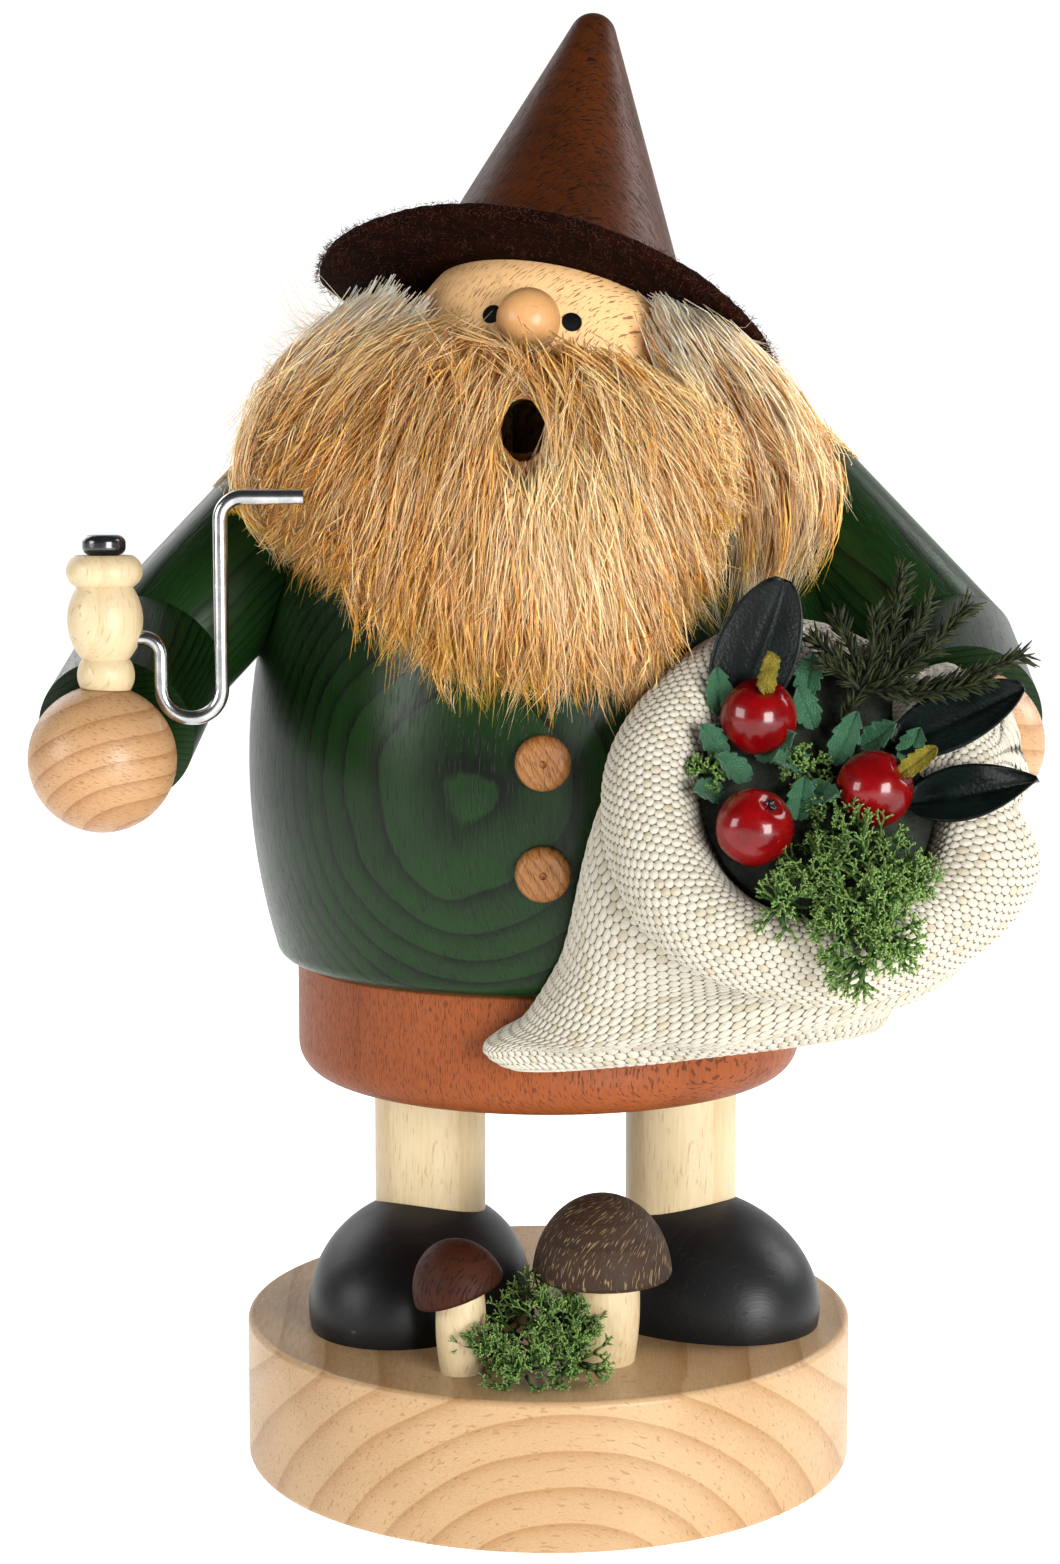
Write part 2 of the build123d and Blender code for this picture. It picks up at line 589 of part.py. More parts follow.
def pipe_bowl():
    """Turned bowl: foot bead, round belly, waist and rim, with a peg into the hand."""
    foot, neck, belly = PIPE_FOOT_DIAMETER / 2, PIPE_NECK_DIAMETER / 2, PIPE_BELLY_DIAMETER / 2
    waist, rim = PIPE_WAIST_DIAMETER / 2, PIPE_RIM_DIAMETER / 2
    sink = HAND_DIAMETER / 2 - sqrt((HAND_DIAMETER / 2)**2 - foot**2)
    belly_height = (PIPE_FOOT_HEIGHT + PIPE_WAIST_HEIGHT) / 2
    rim_height = (PIPE_WAIST_HEIGHT + PIPE_HEIGHT) / 2
    profile = turned(
        Polyline((0, PIPE_HEIGHT), (0, -sink), (neck, -sink)),
        ThreePointArc((neck, -sink), (foot, PIPE_FOOT_HEIGHT / 2), (neck, PIPE_FOOT_HEIGHT)),
        ThreePointArc((neck, PIPE_FOOT_HEIGHT), (belly, belly_height), (waist, PIPE_WAIST_HEIGHT)),
        ThreePointArc((waist, PIPE_WAIST_HEIGHT), (rim, rim_height), (waist, PIPE_HEIGHT)),
        Line((waist, PIPE_HEIGHT), (0, PIPE_HEIGHT)),
    )
    foot_place = Pos(*pipe_foot())
    rim_place = foot_place * Pos(0, 0, PIPE_HEIGHT)
    peg = Cylinder(PIPE_PEG / 2, PIPE_FOOT_HEIGHT + PIPE_PEG_LENGTH, align=HANGING)
    bowl = foot_place * profile - ball(hand_centre("right"), HAND_DIAMETER + 2 * SEAT_GAP)
    bowl += foot_place * Pos(0, 0, PIPE_FOOT_HEIGHT) * peg
    bowl -= rim_place * Cylinder(PIPE_BORE / 2, PIPE_BORE_DEPTH, align=HANGING)
    start = wire_start()
    return bowl - rod(start, start + Vector(PIPE_BELLY_DIAMETER, 0, 0), WIRE_DIAMETER + 2 * GLUE_GAP)


def wire_start():
    """Inner end of the wire, in the bowl's belly."""
    return pipe_foot() + Vector(PIPE_BELLY_DIAMETER / 2 - WIRE_SOCKET, 0, WIRE_HEIGHT)


def pipe_cap():
    """Black bead with a stub that plugs the bowl's bore."""
    top = Pos(*pipe_foot()) * Pos(0, 0, PIPE_HEIGHT)
    bead = Cylinder(PIPE_CAP_DIAMETER / 2, PIPE_CAP_HEIGHT, align=STANDING)
    bead = fillet(bead.edges().filter_by(GeomType.CIRCLE), PIPE_CAP_ROUND)
    return top * (bead + Cylinder(PIPE_BORE / 2 - GLUE_GAP, PIPE_STUB_LENGTH, align=HANGING))


def pipe_stem():
    """Steel wire: out of the bowl, round a hanging loop, up and across towards the mouth."""
    start = wire_start()
    out = pipe_foot().X + WIRE_OUT
    low = start.Z - WIRE_LOOP_DEPTH
    rise = out + WIRE_LOOP_WIDTH
    top = low + WIRE_RISE
    corners = [(start.X, start.Z), (out, start.Z), (out, low), (rise, low), (rise, top)]
    corners.append((rise + WIRE_MOUTHPIECE, top))
    path = FilletPolyline(*[(x, start.Y, z) for x, z in corners], radius=list(WIRE_BENDS))
    return sweep(Plane(origin=path @ 0, z_dir=path % 0) * Circle(WIRE_DIAMETER / 2), path=path)


def fur_loft(sections):
    """Smooth form through level ellipses, each given as height, half width, half depth and centre line."""
    return loft([Pos(0, middle, height) * Ellipse(wide, deep) for height, wide, deep, middle in sections])


def beard():
    """Fur bib from under the nose to the chest, with the smoke hole through it."""
    rows = []
    for height, wide, ahead, deep in BEARD_SECTIONS:
        rows.append((BODY_TOP + height, wide, deep, deep - BODY_RADIUS - ahead))
    fur = fur_loft(rows)
    reach = 4 * BODY_DIAMETER
    front = Box(reach, reach, reach, align=(Align.CENTER, Align.MAX, Align.CENTER))
    fur &= Pos(0, FUR_PARTING - SOFT_GAP / 2, 0) * front
    fur &= brim_roller(BRIM_BEND - BRIM_THICK - SOFT_GAP, reach)
    fur -= body_form(SOFT_GAP) + ball(HEAD_CENTRE, HEAD_DIAMETER + 2 * SOFT_GAP)
    fur -= ball(nose_centre(), NOSE_DIAMETER + 2 * SOFT_GAP)
    for side in SIDES:
        fur -= upper_arm_form(side, ARM_DIAMETER + 2 * SOFT_GAP)
    for room in button_rooms():
        fur -= room
    fur -= sack_collar(SOFT_GAP)
    return fur - mouth_bore(BEARD_HOLE, BODY_DIAMETER)


def hair():
    """Fur collar round the back and sides of the head, under the brim and over the shoulders."""
    fur = fur_loft([(BODY_TOP + height, wide, deep, HAIR_BACK) for height, wide, deep in HAIR_SECTIONS])
    reach = 4 * BODY_DIAMETER
    back = Box(reach, reach, reach, align=(Align.CENTER, Align.MIN, Align.CENTER))
    fur &= Pos(0, FUR_PARTING + SOFT_GAP / 2, 0) * back
    fur &= brim_roller(BRIM_BEND - BRIM_THICK - SOFT_GAP, reach)
    fur -= body_form(SOFT_GAP) + ball(HEAD_CENTRE, HEAD_DIAMETER + 2 * SOFT_GAP)
    for side in SIDES:
        fur -= upper_arm_form(side, ARM_DIAMETER + 2 * SOFT_GAP)
    return fur


def mouth_plane(out=0.0):
    """Plane across the sack's mouth, placed from the hand that holds the sack."""
    centre = hand_centre("left") - Vector(SACK_ASIDE, SACK_AHEAD, SACK_BELOW)
    return Plane(origin=centre + SACK_OUT * out, x_dir=(1, 0, 0), z_dir=SACK_OUT)


def mouth_spot(across, up, out):
    """A point given on the sack's mouth plane."""
    return mouth_plane().from_local_coords(Vector(across, up, out))


def mouth_oval(wide, tall, out):
    """An oval across the sack's mouth, at a distance out of the mouth's plane."""
    return mouth_plane(out) * Ellipse(wide / 2, tall / 2)


def left_grip():
    """Room for the left hand and forearm in the sack: the hand presses a gap into the collar."""
    palm, room = hand_centre("left"), HAND_DIAMETER + 2 * SOFT_GAP
    gap = rod(palm, palm + Vector(0, -1, GRIP_SLOPE) * COLLAR_WIDE, room)
    return [ball(palm, room), gap, forearm_form("left", ARM_DIAMETER + 2 * SOFT_GAP)]


def sack_cavity(shrink=0.0):
    """The hollow behind the sack's mouth."""
    narrow = 2 * (CAVITY_TAPER + shrink)
    return loft([
        mouth_oval(MOUTH_WIDE - narrow, MOUTH_TALL - narrow, shrink - CAVITY_DEPTH),
        mouth_oval(MOUTH_WIDE - 2 * shrink, MOUTH_TALL - 2 * shrink, COLLAR_DEPTH),
    ])


def sack_collar(grow=0.0):
    """Outer form of the turned-down collar, rounding in to the mouth's lip."""
    wide, tall = COLLAR_WIDE + 2 * grow, COLLAR_TALL + 2 * grow
    return loft([
        mouth_oval(wide, tall, -COLLAR_DEPTH),
        mouth_oval(wide - COLLAR_ROLL / 2, tall - COLLAR_ROLL / 2, -COLLAR_DEPTH / 3),
        mouth_oval(wide - 2 * COLLAR_ROLL, tall - 2 * COLLAR_ROLL, grow),
    ])


@cache
def sack():
    """Cloth bag that hangs from the left hand: flat bottom seam, full pouch, turned-down collar."""
    hang = TROUSERS_DIAMETER / 2 + 2 * SOFT_GAP + POUCH_BOTTOM_THICK / 2
    mouth = mouth_plane().origin
    seam = Pos(mouth.X + POUCH_SWING, -hang, mouth.Z - POUCH_DROP) * Rot(*POUCH_SEAM_ANGLES)
    belly = Pos(mouth.X + BELLY_SWING, -BODY_RADIUS - BELLY_STAND, mouth.Z - BELLY_DROP)
    belly *= Rot(*BELLY_ANGLES)
    pouch = loft([
        seam * Ellipse(POUCH_BOTTOM_WIDE / 2, POUCH_BOTTOM_THICK / 2),
        belly * Ellipse(POUCH_WIDE / 2, POUCH_THICK / 2),
        mouth_oval(COLLAR_WIDE - COLLAR_ROLL, COLLAR_TALL - 2 * COLLAR_ROLL, -COLLAR_DEPTH),
        mouth_oval(COLLAR_WIDE - 2 * COLLAR_ROLL, COLLAR_TALL - 2 * COLLAR_ROLL, -COLLAR_DEPTH / 3),
    ])
    cloth = pouch + sack_collar() - sack_cavity()
    cloth -= body_form(SOFT_GAP)
    cloth -= trousers_form(2 * SOFT_GAP)
    for room in left_grip() + button_rooms():
        cloth -= room
    return cloth


def apple(name):
    """Glossy ball with a stalk dimple."""
    fruit = ball(mouth_spot(*APPLES[name]), APPLE_DIAMETER)
    if name in STALK_TILT:
        fruit -= stalk(name, GLUE_GAP)
    return fruit


def stalk(name, grow=0.0):
    """Felt stalk, set in its apple."""
    turn, lift = (radians(angle) for angle in STALK_TILT[name])
    centre = mouth_spot(*APPLES[name])
    way = mouth_spot(sin(turn) * cos(lift), cos(turn) * cos(lift), sin(lift)) - mouth_spot(0, 0, 0)
    skin = APPLE_DIAMETER / 2
    return rod(centre + way * (skin - APPLE_DIMPLE - grow), centre + way * (skin + STALK_LENGTH),
               STALK_DIAMETER + 2 * grow)


def leaf(start, end, width, thick, cup):
    """Pointed leaf from its root to its tip, hollowed across its width."""
    run = Vector(end) - Vector(start)
    length = run.length
    outline = make_face([ThreePointArc((0, 0), (length / 2, width / 2), (length, 0)),
                         ThreePointArc((length, 0), (length / 2, -width / 2), (0, 0))])
    curl = Pos(length / 2, 0, cup) * Rot(0, 90, 0) * (Cylinder(cup, length) - Cylinder(cup - thick, length))
    blade = curl & extrude(outline, cup / 2)
    plane = Plane(origin=start, x_dir=run, z_dir=SACK_OUT - run * (SACK_OUT.dot(run) / run.dot(run)))
    return plane * blade


def sack_leaf(name):
    start, end = (mouth_spot(*spot) for spot in LEAVES[name])
    return leaf(start, end, LEAF_WIDTH[name], LEAF_THICK, LEAF_CUP)


def cloth_leaves():
    """Small cloth leaves that stand on the wadding between the apples."""
    scraps = []
    for (across, up), turn in zip(CLOTH_LEAF_ROOTS, CLOTH_LEAF_ANGLES):
        way = Vector(cos(radians(turn)), sin(radians(turn)), 1).normalized() * CLOTH_LEAF_LENGTH
        root = Vector(across, up, -STUFFING_SINK)
        tip = root + way
        scraps.append(leaf(mouth_spot(*root), mouth_spot(*tip), CLOTH_LEAF_WIDTH, CLOTH_LEAF_THICK, LEAF_CUP))
    return group(scraps)


def fir_sprig():
    """Forked twig of the conifer sprig."""
    fork = mouth_spot(*SPRIG_FORK)
    twig = rod(mouth_spot(*SPRIG_ROOT), fork, SPRIG_DIAMETER) + ball(fork, SPRIG_DIAMETER)
    for tip in SPRIG_TIPS:
        twig += rod(fork, mouth_spot(*tip), SPRIG_DIAMETER)
    return twig


@cache
def sack_stuffing():
    """Wadding behind the mouth, dimpled where the apples sit."""
    wad = split(sack_cavity(SOFT_GAP), bisect_by=mouth_plane(-STUFFING_SINK), keep=Keep.BOTTOM)
    for spot in APPLES.values():
        wad -= ball(mouth_spot(*spot), APPLE_DIAMETER + 2 * SEAT_GAP)
    for room in left_grip():
        wad -= room
    return wad


def sack_moss():
    """Tuft of moss that spills over the sack's lower lip."""
    tuft = Part()
    for spot, radius in SACK_MOSS:
        tuft += ball(mouth_spot(*spot), 2 * radius)
    for spot in APPLES.values():
        tuft -= ball(mouth_spot(*spot), APPLE_DIAMETER + 4 * SOFT_GAP)
    for name in LEAVES:
        tuft -= sack_leaf(name)
    tuft = split(tuft, bisect_by=mouth_plane(SOFT_GAP - STUFFING_SINK), keep=Keep.TOP)
    return tuft - Pos(*(SACK_OUT * SOFT_GAP)) * sack()


def mushroom_cap(name):
    """Domed cap, flat below, with a socket for its stem's peg."""
    m = MUSHROOMS[name]
    radius, rise = m["cap"] / 2, m["rise"]
    half = Ellipse(radius, rise) & Rectangle(radius, rise, align=(Align.MIN, Align.MIN))
    dome = revolve(Plane.XZ * half, axis=Axis.Z)
    dome = fillet(dome.edges().filter_by(GeomType.CIRCLE).sort_by(Axis.Z)[0], CAP_ROUND)
    dome -= Cylinder(STEM_PEG / 2 + GLUE_GAP, STEM_PEG_LENGTH, align=STANDING)
    return Pos(m["x"], m["y"], BASE_THICK + m["height"]) * Rot(0, CAP_TILT[name], 0) * dome


def mushroom_stem(name):
    """Barrel stem, pegged into the base and into the cap."""
    m = MUSHROOMS[name]
    foot = m["stem"] / 2 - STEM_BULGE
    top = m["height"] + foot
    side = ThreePointArc((foot, 0), (m["stem"] / 2, m["height"] / 2), (foot, top))
    stem = turned(side, Polyline((foot, top), (0, top), (0, 0), (foot, 0)))
    stem += Cylinder(STEM_PEG / 2, STEM_PEG_LENGTH, align=HANGING)
    place = Pos(m["x"], m["y"], BASE_THICK)
    seat = Pos(0, 0, m["height"]) * Rot(0, CAP_TILT[name], 0)
    stem -= seat * Box(m["cap"], m["cap"], m["cap"], align=STANDING)
    stem += seat * Cylinder(STEM_PEG / 2, STEM_PEG_LENGTH, align=STANDING)
    return place * stem


def base_moss():
    """Tuft of moss between the mushrooms."""
    tuft = Part()
    for (x, y, height), radius in BASE_MOSS:
        tuft += ball((x, y, BASE_THICK + height), 2 * radius)
    tuft &= Pos(0, 0, BASE_THICK) * Box(BASE_DIAMETER, BASE_DIAMETER, BASE_DIAMETER, align=STANDING)
    for name, m in MUSHROOMS.items():
        tuft -= standing_rod(m["stem"] + 2 * SOFT_GAP, m["height"], m["x"], m["y"], BASE_THICK)
        cap = Pos(m["x"], m["y"], BASE_THICK + m["height"] - SOFT_GAP) * Rot(0, CAP_TILT[name], 0)
        tuft -= cap * Cylinder(m["cap"] / 2 + SOFT_GAP, 2 * m["rise"], align=STANDING)
    return tuft


PARTS = {
    "base_disc": base_disc,
    "leg_pins": leg_pins,
    "trousers": trousers,
    "incense_plate": incense_plate,
    "plate_tacks": plate_tacks,
    "base_moss": base_moss,
    "body_shell": body_shell,
    "arm_pins": arm_pins,
    "head": head,
    "nose": lambda: ball(nose_centre(), NOSE_DIAMETER),
    "eye_right": lambda: eye(-EYE_SPREAD),
    "eye_left": lambda: eye(EYE_SPREAD),
    "hat_pin": lambda: hat_pin(PIN_DIAMETER),
    "hat_brim": hat_brim,
    "hat_cone": hat_cone,
    "beard": beard,
    "hair": hair,
    "pipe_bowl": pipe_bowl,
    "pipe_cap": pipe_cap,
    "pipe_stem": pipe_stem,
    "sack": sack,
    "sack_stuffing": sack_stuffing,
    "cloth_leaves": cloth_leaves,
    "fir_sprig": fir_sprig,
    "sack_moss": sack_moss,
}
for _side in SIDES:
    for _make in (shoe, leg, upper_arm, forearm, hand):
        PARTS[f"{_make.__name__}_{_side}"] = lambda make=_make, side=_side: make(side)
for _name in BUTTON_HEIGHTS:
    PARTS[_name] = lambda name=_name: button(name)
for _name in APPLES:
    PARTS[_name] = lambda name=_name: apple(name)
for _name in STALK_TILT:
    PARTS[_name + "_stalk"] = lambda name=_name: stalk(name)
for _name in LEAVES:
    PARTS[_name] = lambda name=_name: sack_leaf(name)
for _name in MUSHROOMS:
    PARTS[_name + "_cap"] = lambda name=_name: mushroom_cap(name)
    PARTS[_name + "_stem"] = lambda name=_name: mushroom_stem(name)

if __name__ == "__main__":
    os.makedirs("parts", exist_ok=True)
    for node, make in PARTS.items():
        export_step(make(), f"parts/{node}.step")
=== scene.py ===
"""Looks for a turned wooden incense smoker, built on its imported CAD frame.

Tables are in millimetres in the CAD frame: +Z is up, the figure faces -Y, and its right is the
-X side. Meshes and materials are in metres.
"""

import logging
from dataclasses import dataclass, replace
from enum import Enum
from math import cos, pi, radians, sin, sqrt
from typing import Sequence, Union

import bpy
import numpy as np
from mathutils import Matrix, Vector


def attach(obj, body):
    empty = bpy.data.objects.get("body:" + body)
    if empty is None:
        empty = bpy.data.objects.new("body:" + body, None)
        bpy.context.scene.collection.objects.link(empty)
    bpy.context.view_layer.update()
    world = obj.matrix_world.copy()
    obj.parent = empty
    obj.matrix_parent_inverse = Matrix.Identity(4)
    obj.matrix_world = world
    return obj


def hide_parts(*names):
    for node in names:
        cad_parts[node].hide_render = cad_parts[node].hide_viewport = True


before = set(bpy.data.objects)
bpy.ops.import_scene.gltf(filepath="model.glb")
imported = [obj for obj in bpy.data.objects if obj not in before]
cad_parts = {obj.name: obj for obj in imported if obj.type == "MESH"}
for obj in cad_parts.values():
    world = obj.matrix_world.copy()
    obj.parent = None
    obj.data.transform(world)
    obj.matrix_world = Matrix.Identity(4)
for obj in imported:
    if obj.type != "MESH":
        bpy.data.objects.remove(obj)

log = logging.getLogger("smoker")

MM = 0.001
TINY = 1e-6  # a length or step that is as good as 0
SPECK = 1e-9  # spare length where one may be 0
Triple = tuple[float, float, float]
Array = np.ndarray
Material = bpy.types.Material
Node = bpy.types.Node
Socket = bpy.types.NodeSocket
Value = Union[float, Sequence[float], Socket]


class Body(str, Enum):
    """Rigid bodies of the frame."""

    STAND = "stand"
    FIGURE = "figure"


# Geometry


@dataclass(frozen=True)
class Patch:
    """Triangles in millimetres with one UV per corner.

    Attributes:
        points: (n, 3) positions.
        faces: (m, 3) point numbers.
        uv: (m, 3, 2) texture places.
    """

    points: Array
    faces: Array
    uv: Array

    @staticmethod
    def joined(patches: Sequence["Patch"]) -> "Patch":
        """Put several patches into one."""
        starts = np.cumsum([0] + [len(p.points) for p in patches[:-1]])
        return Patch(
            np.concatenate([p.points for p in patches]),
            np.concatenate([p.faces + start for p, start in zip(patches, starts)]),
            np.concatenate([p.uv for p in patches]),
        )

    def capped(self, *ends: Array) -> "Patch":
        """This patch with more triangles between its points, all at UV 0.

        Args:
            ends: (m, 3) point numbers of the triangles to add.

        Returns:
            The closed patch.
        """
        more = np.concatenate(ends)
        uv = np.concatenate([self.uv, np.zeros((len(more), 3, 2))])
        return Patch(self.points, np.concatenate([self.faces, more]), uv)


def unit(ways: Array, spare: float = 0.0) -> Array:
    """Vectors divided by their lengths, with a spare length added where one may be 0."""
    return ways / (np.linalg.norm(ways, axis=-1, keepdims=True) + spare)


def circle(count: int) -> Array:
    """Angles of one full turn in even steps, without the last."""
    return np.linspace(0, 2 * pi, count + 1)[:-1]


def halves(a: Array, b: Array, c: Array, d: Array) -> list[Array]:
    """The two triangles of each cell, from the point numbers of its corners."""
    return [np.stack(corners, -1).reshape(-1, 3) for corners in ((a, b, c), (a, c, d))]


def quads(index: Array) -> Array:
    """Two triangles for each cell of a grid of point numbers."""
    return np.concatenate(halves(index[:-1, :-1], index[:-1, 1:], index[1:, 1:], index[1:, :-1]))


def grid(points: Array, uv: Array, wrap: tuple[bool, bool] = (False, False)) -> Patch:
    """Surface through a grid of points.

    Args:
        points: (rows, columns, 3).
        uv: (rows, columns, 2), with one more row or column where that way wraps.
        wrap: whether rows and columns close on themselves.

    Returns:
        The surface, two triangles to a cell.
    """
    rows, columns = points.shape[:2]
    index = np.arange(rows * columns).reshape(rows, columns)
    if wrap[0]:
        index = np.concatenate([index, index[:1]])
    if wrap[1]:
        index = np.concatenate([index, index[:, :1]], axis=1)
    corners = np.arange(index.size).reshape(index.shape)
    return Patch(points.reshape(-1, 3), quads(index), uv.reshape(-1, 2)[quads(corners)])


def even_uv(rows: int, columns: int) -> Array:
    """UV places spread evenly over a grid."""
    v, u = np.meshgrid(np.linspace(0, 1, rows), np.linspace(0, 1, columns), indexing="ij")
    return np.stack([u, v], -1)


def blade(outer: Array, inner: Array) -> Patch:
    """Closed thin sheet between two grids of points.

    Args:
        outer: (rows, columns, 3) points of the side that the sheet faces.
        inner: the same of its other side.

    Returns:
        The sheet, run round its long edges and closed at both ends.
    """
    rows, columns = outer.shape[:2]
    loop = np.concatenate([outer, inner[:, ::-1]], axis=1)
    uv = even_uv(rows, columns)
    around = np.concatenate([uv, uv[:, ::-1], uv[:, :1]], axis=1)
    index = np.arange(rows * 2 * columns).reshape(rows, 2 * columns)
    ends = []
    for row, turn in ((0, 1), (-1, -1)):
        front, back = index[row, :columns], index[row, columns:][::-1]
        ends.append(quads(np.stack([back, front][::turn])))
    return grid(loop, around, (False, True)).capped(*ends)


ODD_WAY = np.array([0.32, 0.81, 0.49])  # a way that few tubes run along


def tubes(paths: Array, radii: Array, sides: int, tint: Array) -> Patch:
    """Closed tapered tubes along many paths at once: rings square to each path, capped with fans.

    Args:
        paths: (k, s, 3) centre lines.
        radii: (k, s).
        sides: corners of the cross section.
        tint: (k,) value that each tube carries as its V place; U runs along the tube.

    Returns:
        All tubes in one patch.
    """
    count, steps = paths.shape[:2]
    run = unit(np.gradient(paths, axis=1), SPECK)
    side = unit(np.cross(run, ODD_WAY), SPECK)
    up = np.cross(run, side)
    turn = 2 * pi * np.arange(sides) / sides
    ring = side[:, :, None] * np.cos(turn)[:, None] + up[:, :, None] * np.sin(turn)[:, None]
    points = paths[:, :, None] + radii[:, :, None, None] * ring
    index = np.arange(points.size // 3).reshape(count, steps, sides)
    low, high = index[:, :-1], index[:, 1:]
    faces = halves(low, np.roll(low, -1, axis=2), np.roll(high, -1, axis=2), high)
    for k in range(1, sides - 1):
        faces.append(index[:, 0][:, [0, k + 1, k]])
        faces.append(index[:, -1][:, [0, k, k + 1]])
    faces = np.concatenate(faces)
    along = np.broadcast_to(np.linspace(0, 1, steps)[None, :, None], index.shape)
    carried = np.broadcast_to(tint[:, None, None], index.shape)
    return Patch(points.reshape(-1, 3), faces, np.stack([along, carried], -1).reshape(-1, 2)[faces])


def cubic(x: Array, y: Array, at: Array) -> Array:
    """Smooth curve through values: a cubic between each two, with the slopes of its neighbours.

    Args:
        x: (n,) places of the values, rising.
        y: (n, ...) values.
        at: (m,) places to read.

    Returns:
        (m, ...) values of the curve.
    """
    slope = np.gradient(y, x, axis=0)
    i = np.clip(np.searchsorted(x, at, side="right") - 1, 0, len(x) - 2)
    shape = (-1,) + (1,) * (y.ndim - 1)
    step = (x[i + 1] - x[i]).reshape(shape)
    t = np.clip((at - x[i]).reshape(shape) / step, 0, 1)
    rise = t * t * (3 - 2 * t)
    return (y[i] * (1 - rise) + y[i + 1] * rise + slope[i] * step * t * (1 - t) ** 2
            - slope[i + 1] * step * t * t * (1 - t))


def read_lines(lines: Array, which: Array, at: Array) -> Array:
    """Points on lines, blended straight between the two nearest steps.

    Args:
        lines: (k, s, d) lines.
        which: (n,) number of the line that each row of places is on.
        at: (n, m) places, counted in steps from the line's start.

    Returns:
        (n, m, d) points.
    """
    first, part = at.astype(int), (at % 1.0)[..., None]
    row = which[:, None]
    return lines[row, first] * (1 - part) + lines[row, first + 1] * part


def grid_normals(points: Array, wrap: tuple[bool, bool]) -> Array:
    """Unit normals of a grid: the cross product of its two ways, on the side its triangles face.

    Args:
        points: (rows, columns, 3).
        wrap: whether rows and columns close on themselves.

    Returns:
        (rows, columns, 3) normals.
    """
    ways = []
    for axis, closed in ((1, wrap[1]), (0, wrap[0])):
        if closed:
            ways.append(np.roll(points, -1, axis) - np.roll(points, 1, axis))
        else:
            ways.append(np.gradient(points, axis=axis))
    return unit(np.cross(*ways), SPECK)


def ease(value: Array, low: float, high: float) -> Array:
    """Smooth step from 0 at low to 1 at high."""
    t = np.clip((value - low) / (high - low), 0, 1)
    return t * t * (3 - 2 * t)


def lumps(points: Array, size: float, seed: int, waves: int = 24) -> Array:
    """Smooth bumps over space: a sum of sine waves that run random ways, about -1 to 1.

    Args:
        points: (..., 3) places.
        size: usual wavelength.
        seed: for the random draws.
        waves: how many waves are summed.

    Returns:
        (...) height of the bumps.
    """
    rng = np.random.default_rng(seed)
    ways = rng.normal(size=(3, waves))
    ways *= 2 * pi / size * rng.uniform(0.6, 1.5, waves) / np.linalg.norm(ways, axis=0)
    return np.sin(points @ ways + rng.uniform(0, 2 * pi, waves)).sum(-1) * sqrt(1.0 / waves)


# Materials


def colour(code: str) -> tuple[float, float, float, float]:
    """Linear colour from a six-digit sRGB code."""
    parts = [int(code[i:i + 2], 16) / 255 for i in (0, 2, 4)]
    red, green, blue = (c / 12.92 if c <= 0.04045 else ((c + 0.055) / 1.055) ** 2.4 for c in parts)
    return red, green, blue, 1.0


class Graph:
    """Builder over one shader node tree."""

    def __init__(self, tree: bpy.types.NodeTree) -> None:
        """Take the tree that nodes are added to."""
        self.tree = tree

    def node(self, kind: str, **settings: object) -> Node:
        """Add a node and set its properties."""
        made = self.tree.nodes.new(kind)
        for name, value in settings.items():
            setattr(made, name, value)
        return made

    def put(self, socket: Socket, value: Value) -> None:
        """Link a socket to an output, or set its value."""
        if isinstance(value, Socket):
            self.tree.links.new(value, socket)
        else:
            socket.default_value = value

    def place(self, kind: str) -> Socket:
        """Texture coordinates of one kind: Object in metres, UV or Generated."""
        return self.node("ShaderNodeTexCoord").outputs[kind]

    def math(self, operation: str, *values: Value) -> Socket:
        """One number from others."""
        made = self.node("ShaderNodeMath", operation=operation)
        for socket, value in zip(made.inputs, values):
            self.put(socket, value)
        return made.outputs[0]

    def span(self, value: Value, low: float, high: float, to: tuple[float, float] = (0.0, 1.0)) -> Socket:
        """Map a number smoothly from one span to another.

        Args:
            value: the number.
            low: start of its span.
            high: end of its span.
            to: the span that it is mapped to.

        Returns:
            The mapped number.
        """
        made = self.node("ShaderNodeMapRange", interpolation_type="SMOOTHSTEP")
        names = ("Value", "From Min", "From Max", "To Min", "To Max")
        for name, number in zip(names, (value, low, high, *to)):
            self.put(made.inputs[name], number)
        return made.outputs[0]

    def mix(self, factor: Value, first: Value, second: Value) -> Socket:
        """Blend two colours."""
        made = self.node("ShaderNodeMix", data_type="RGBA")
        for place, value in ((0, factor), (6, first), (7, second)):
            self.put(made.inputs[place], value)
        return made.outputs[2]

    def noise(self, place: Value, scale: Value, detail: float = 2.0) -> Socket:
        """Cloudy noise, 0 to 1."""
        made = self.node("ShaderNodeTexNoise")
        for name, value in (("Vector", place), ("Scale", scale), ("Detail", detail)):
            self.put(made.inputs[name], value)
        return made.outputs["Fac"]

    def split(self, place: Socket) -> list[Socket]:
        """The three numbers of a vector."""
        made = self.node("ShaderNodeSeparateXYZ")
        self.put(made.inputs[0], place)
        return list(made.outputs)

    def join(self, *values: Value) -> Socket:
        """A vector from three numbers."""
        made = self.node("ShaderNodeCombineXYZ")
        for socket, value in zip(made.inputs, values):
            self.put(socket, value)
        return made.outputs[0]


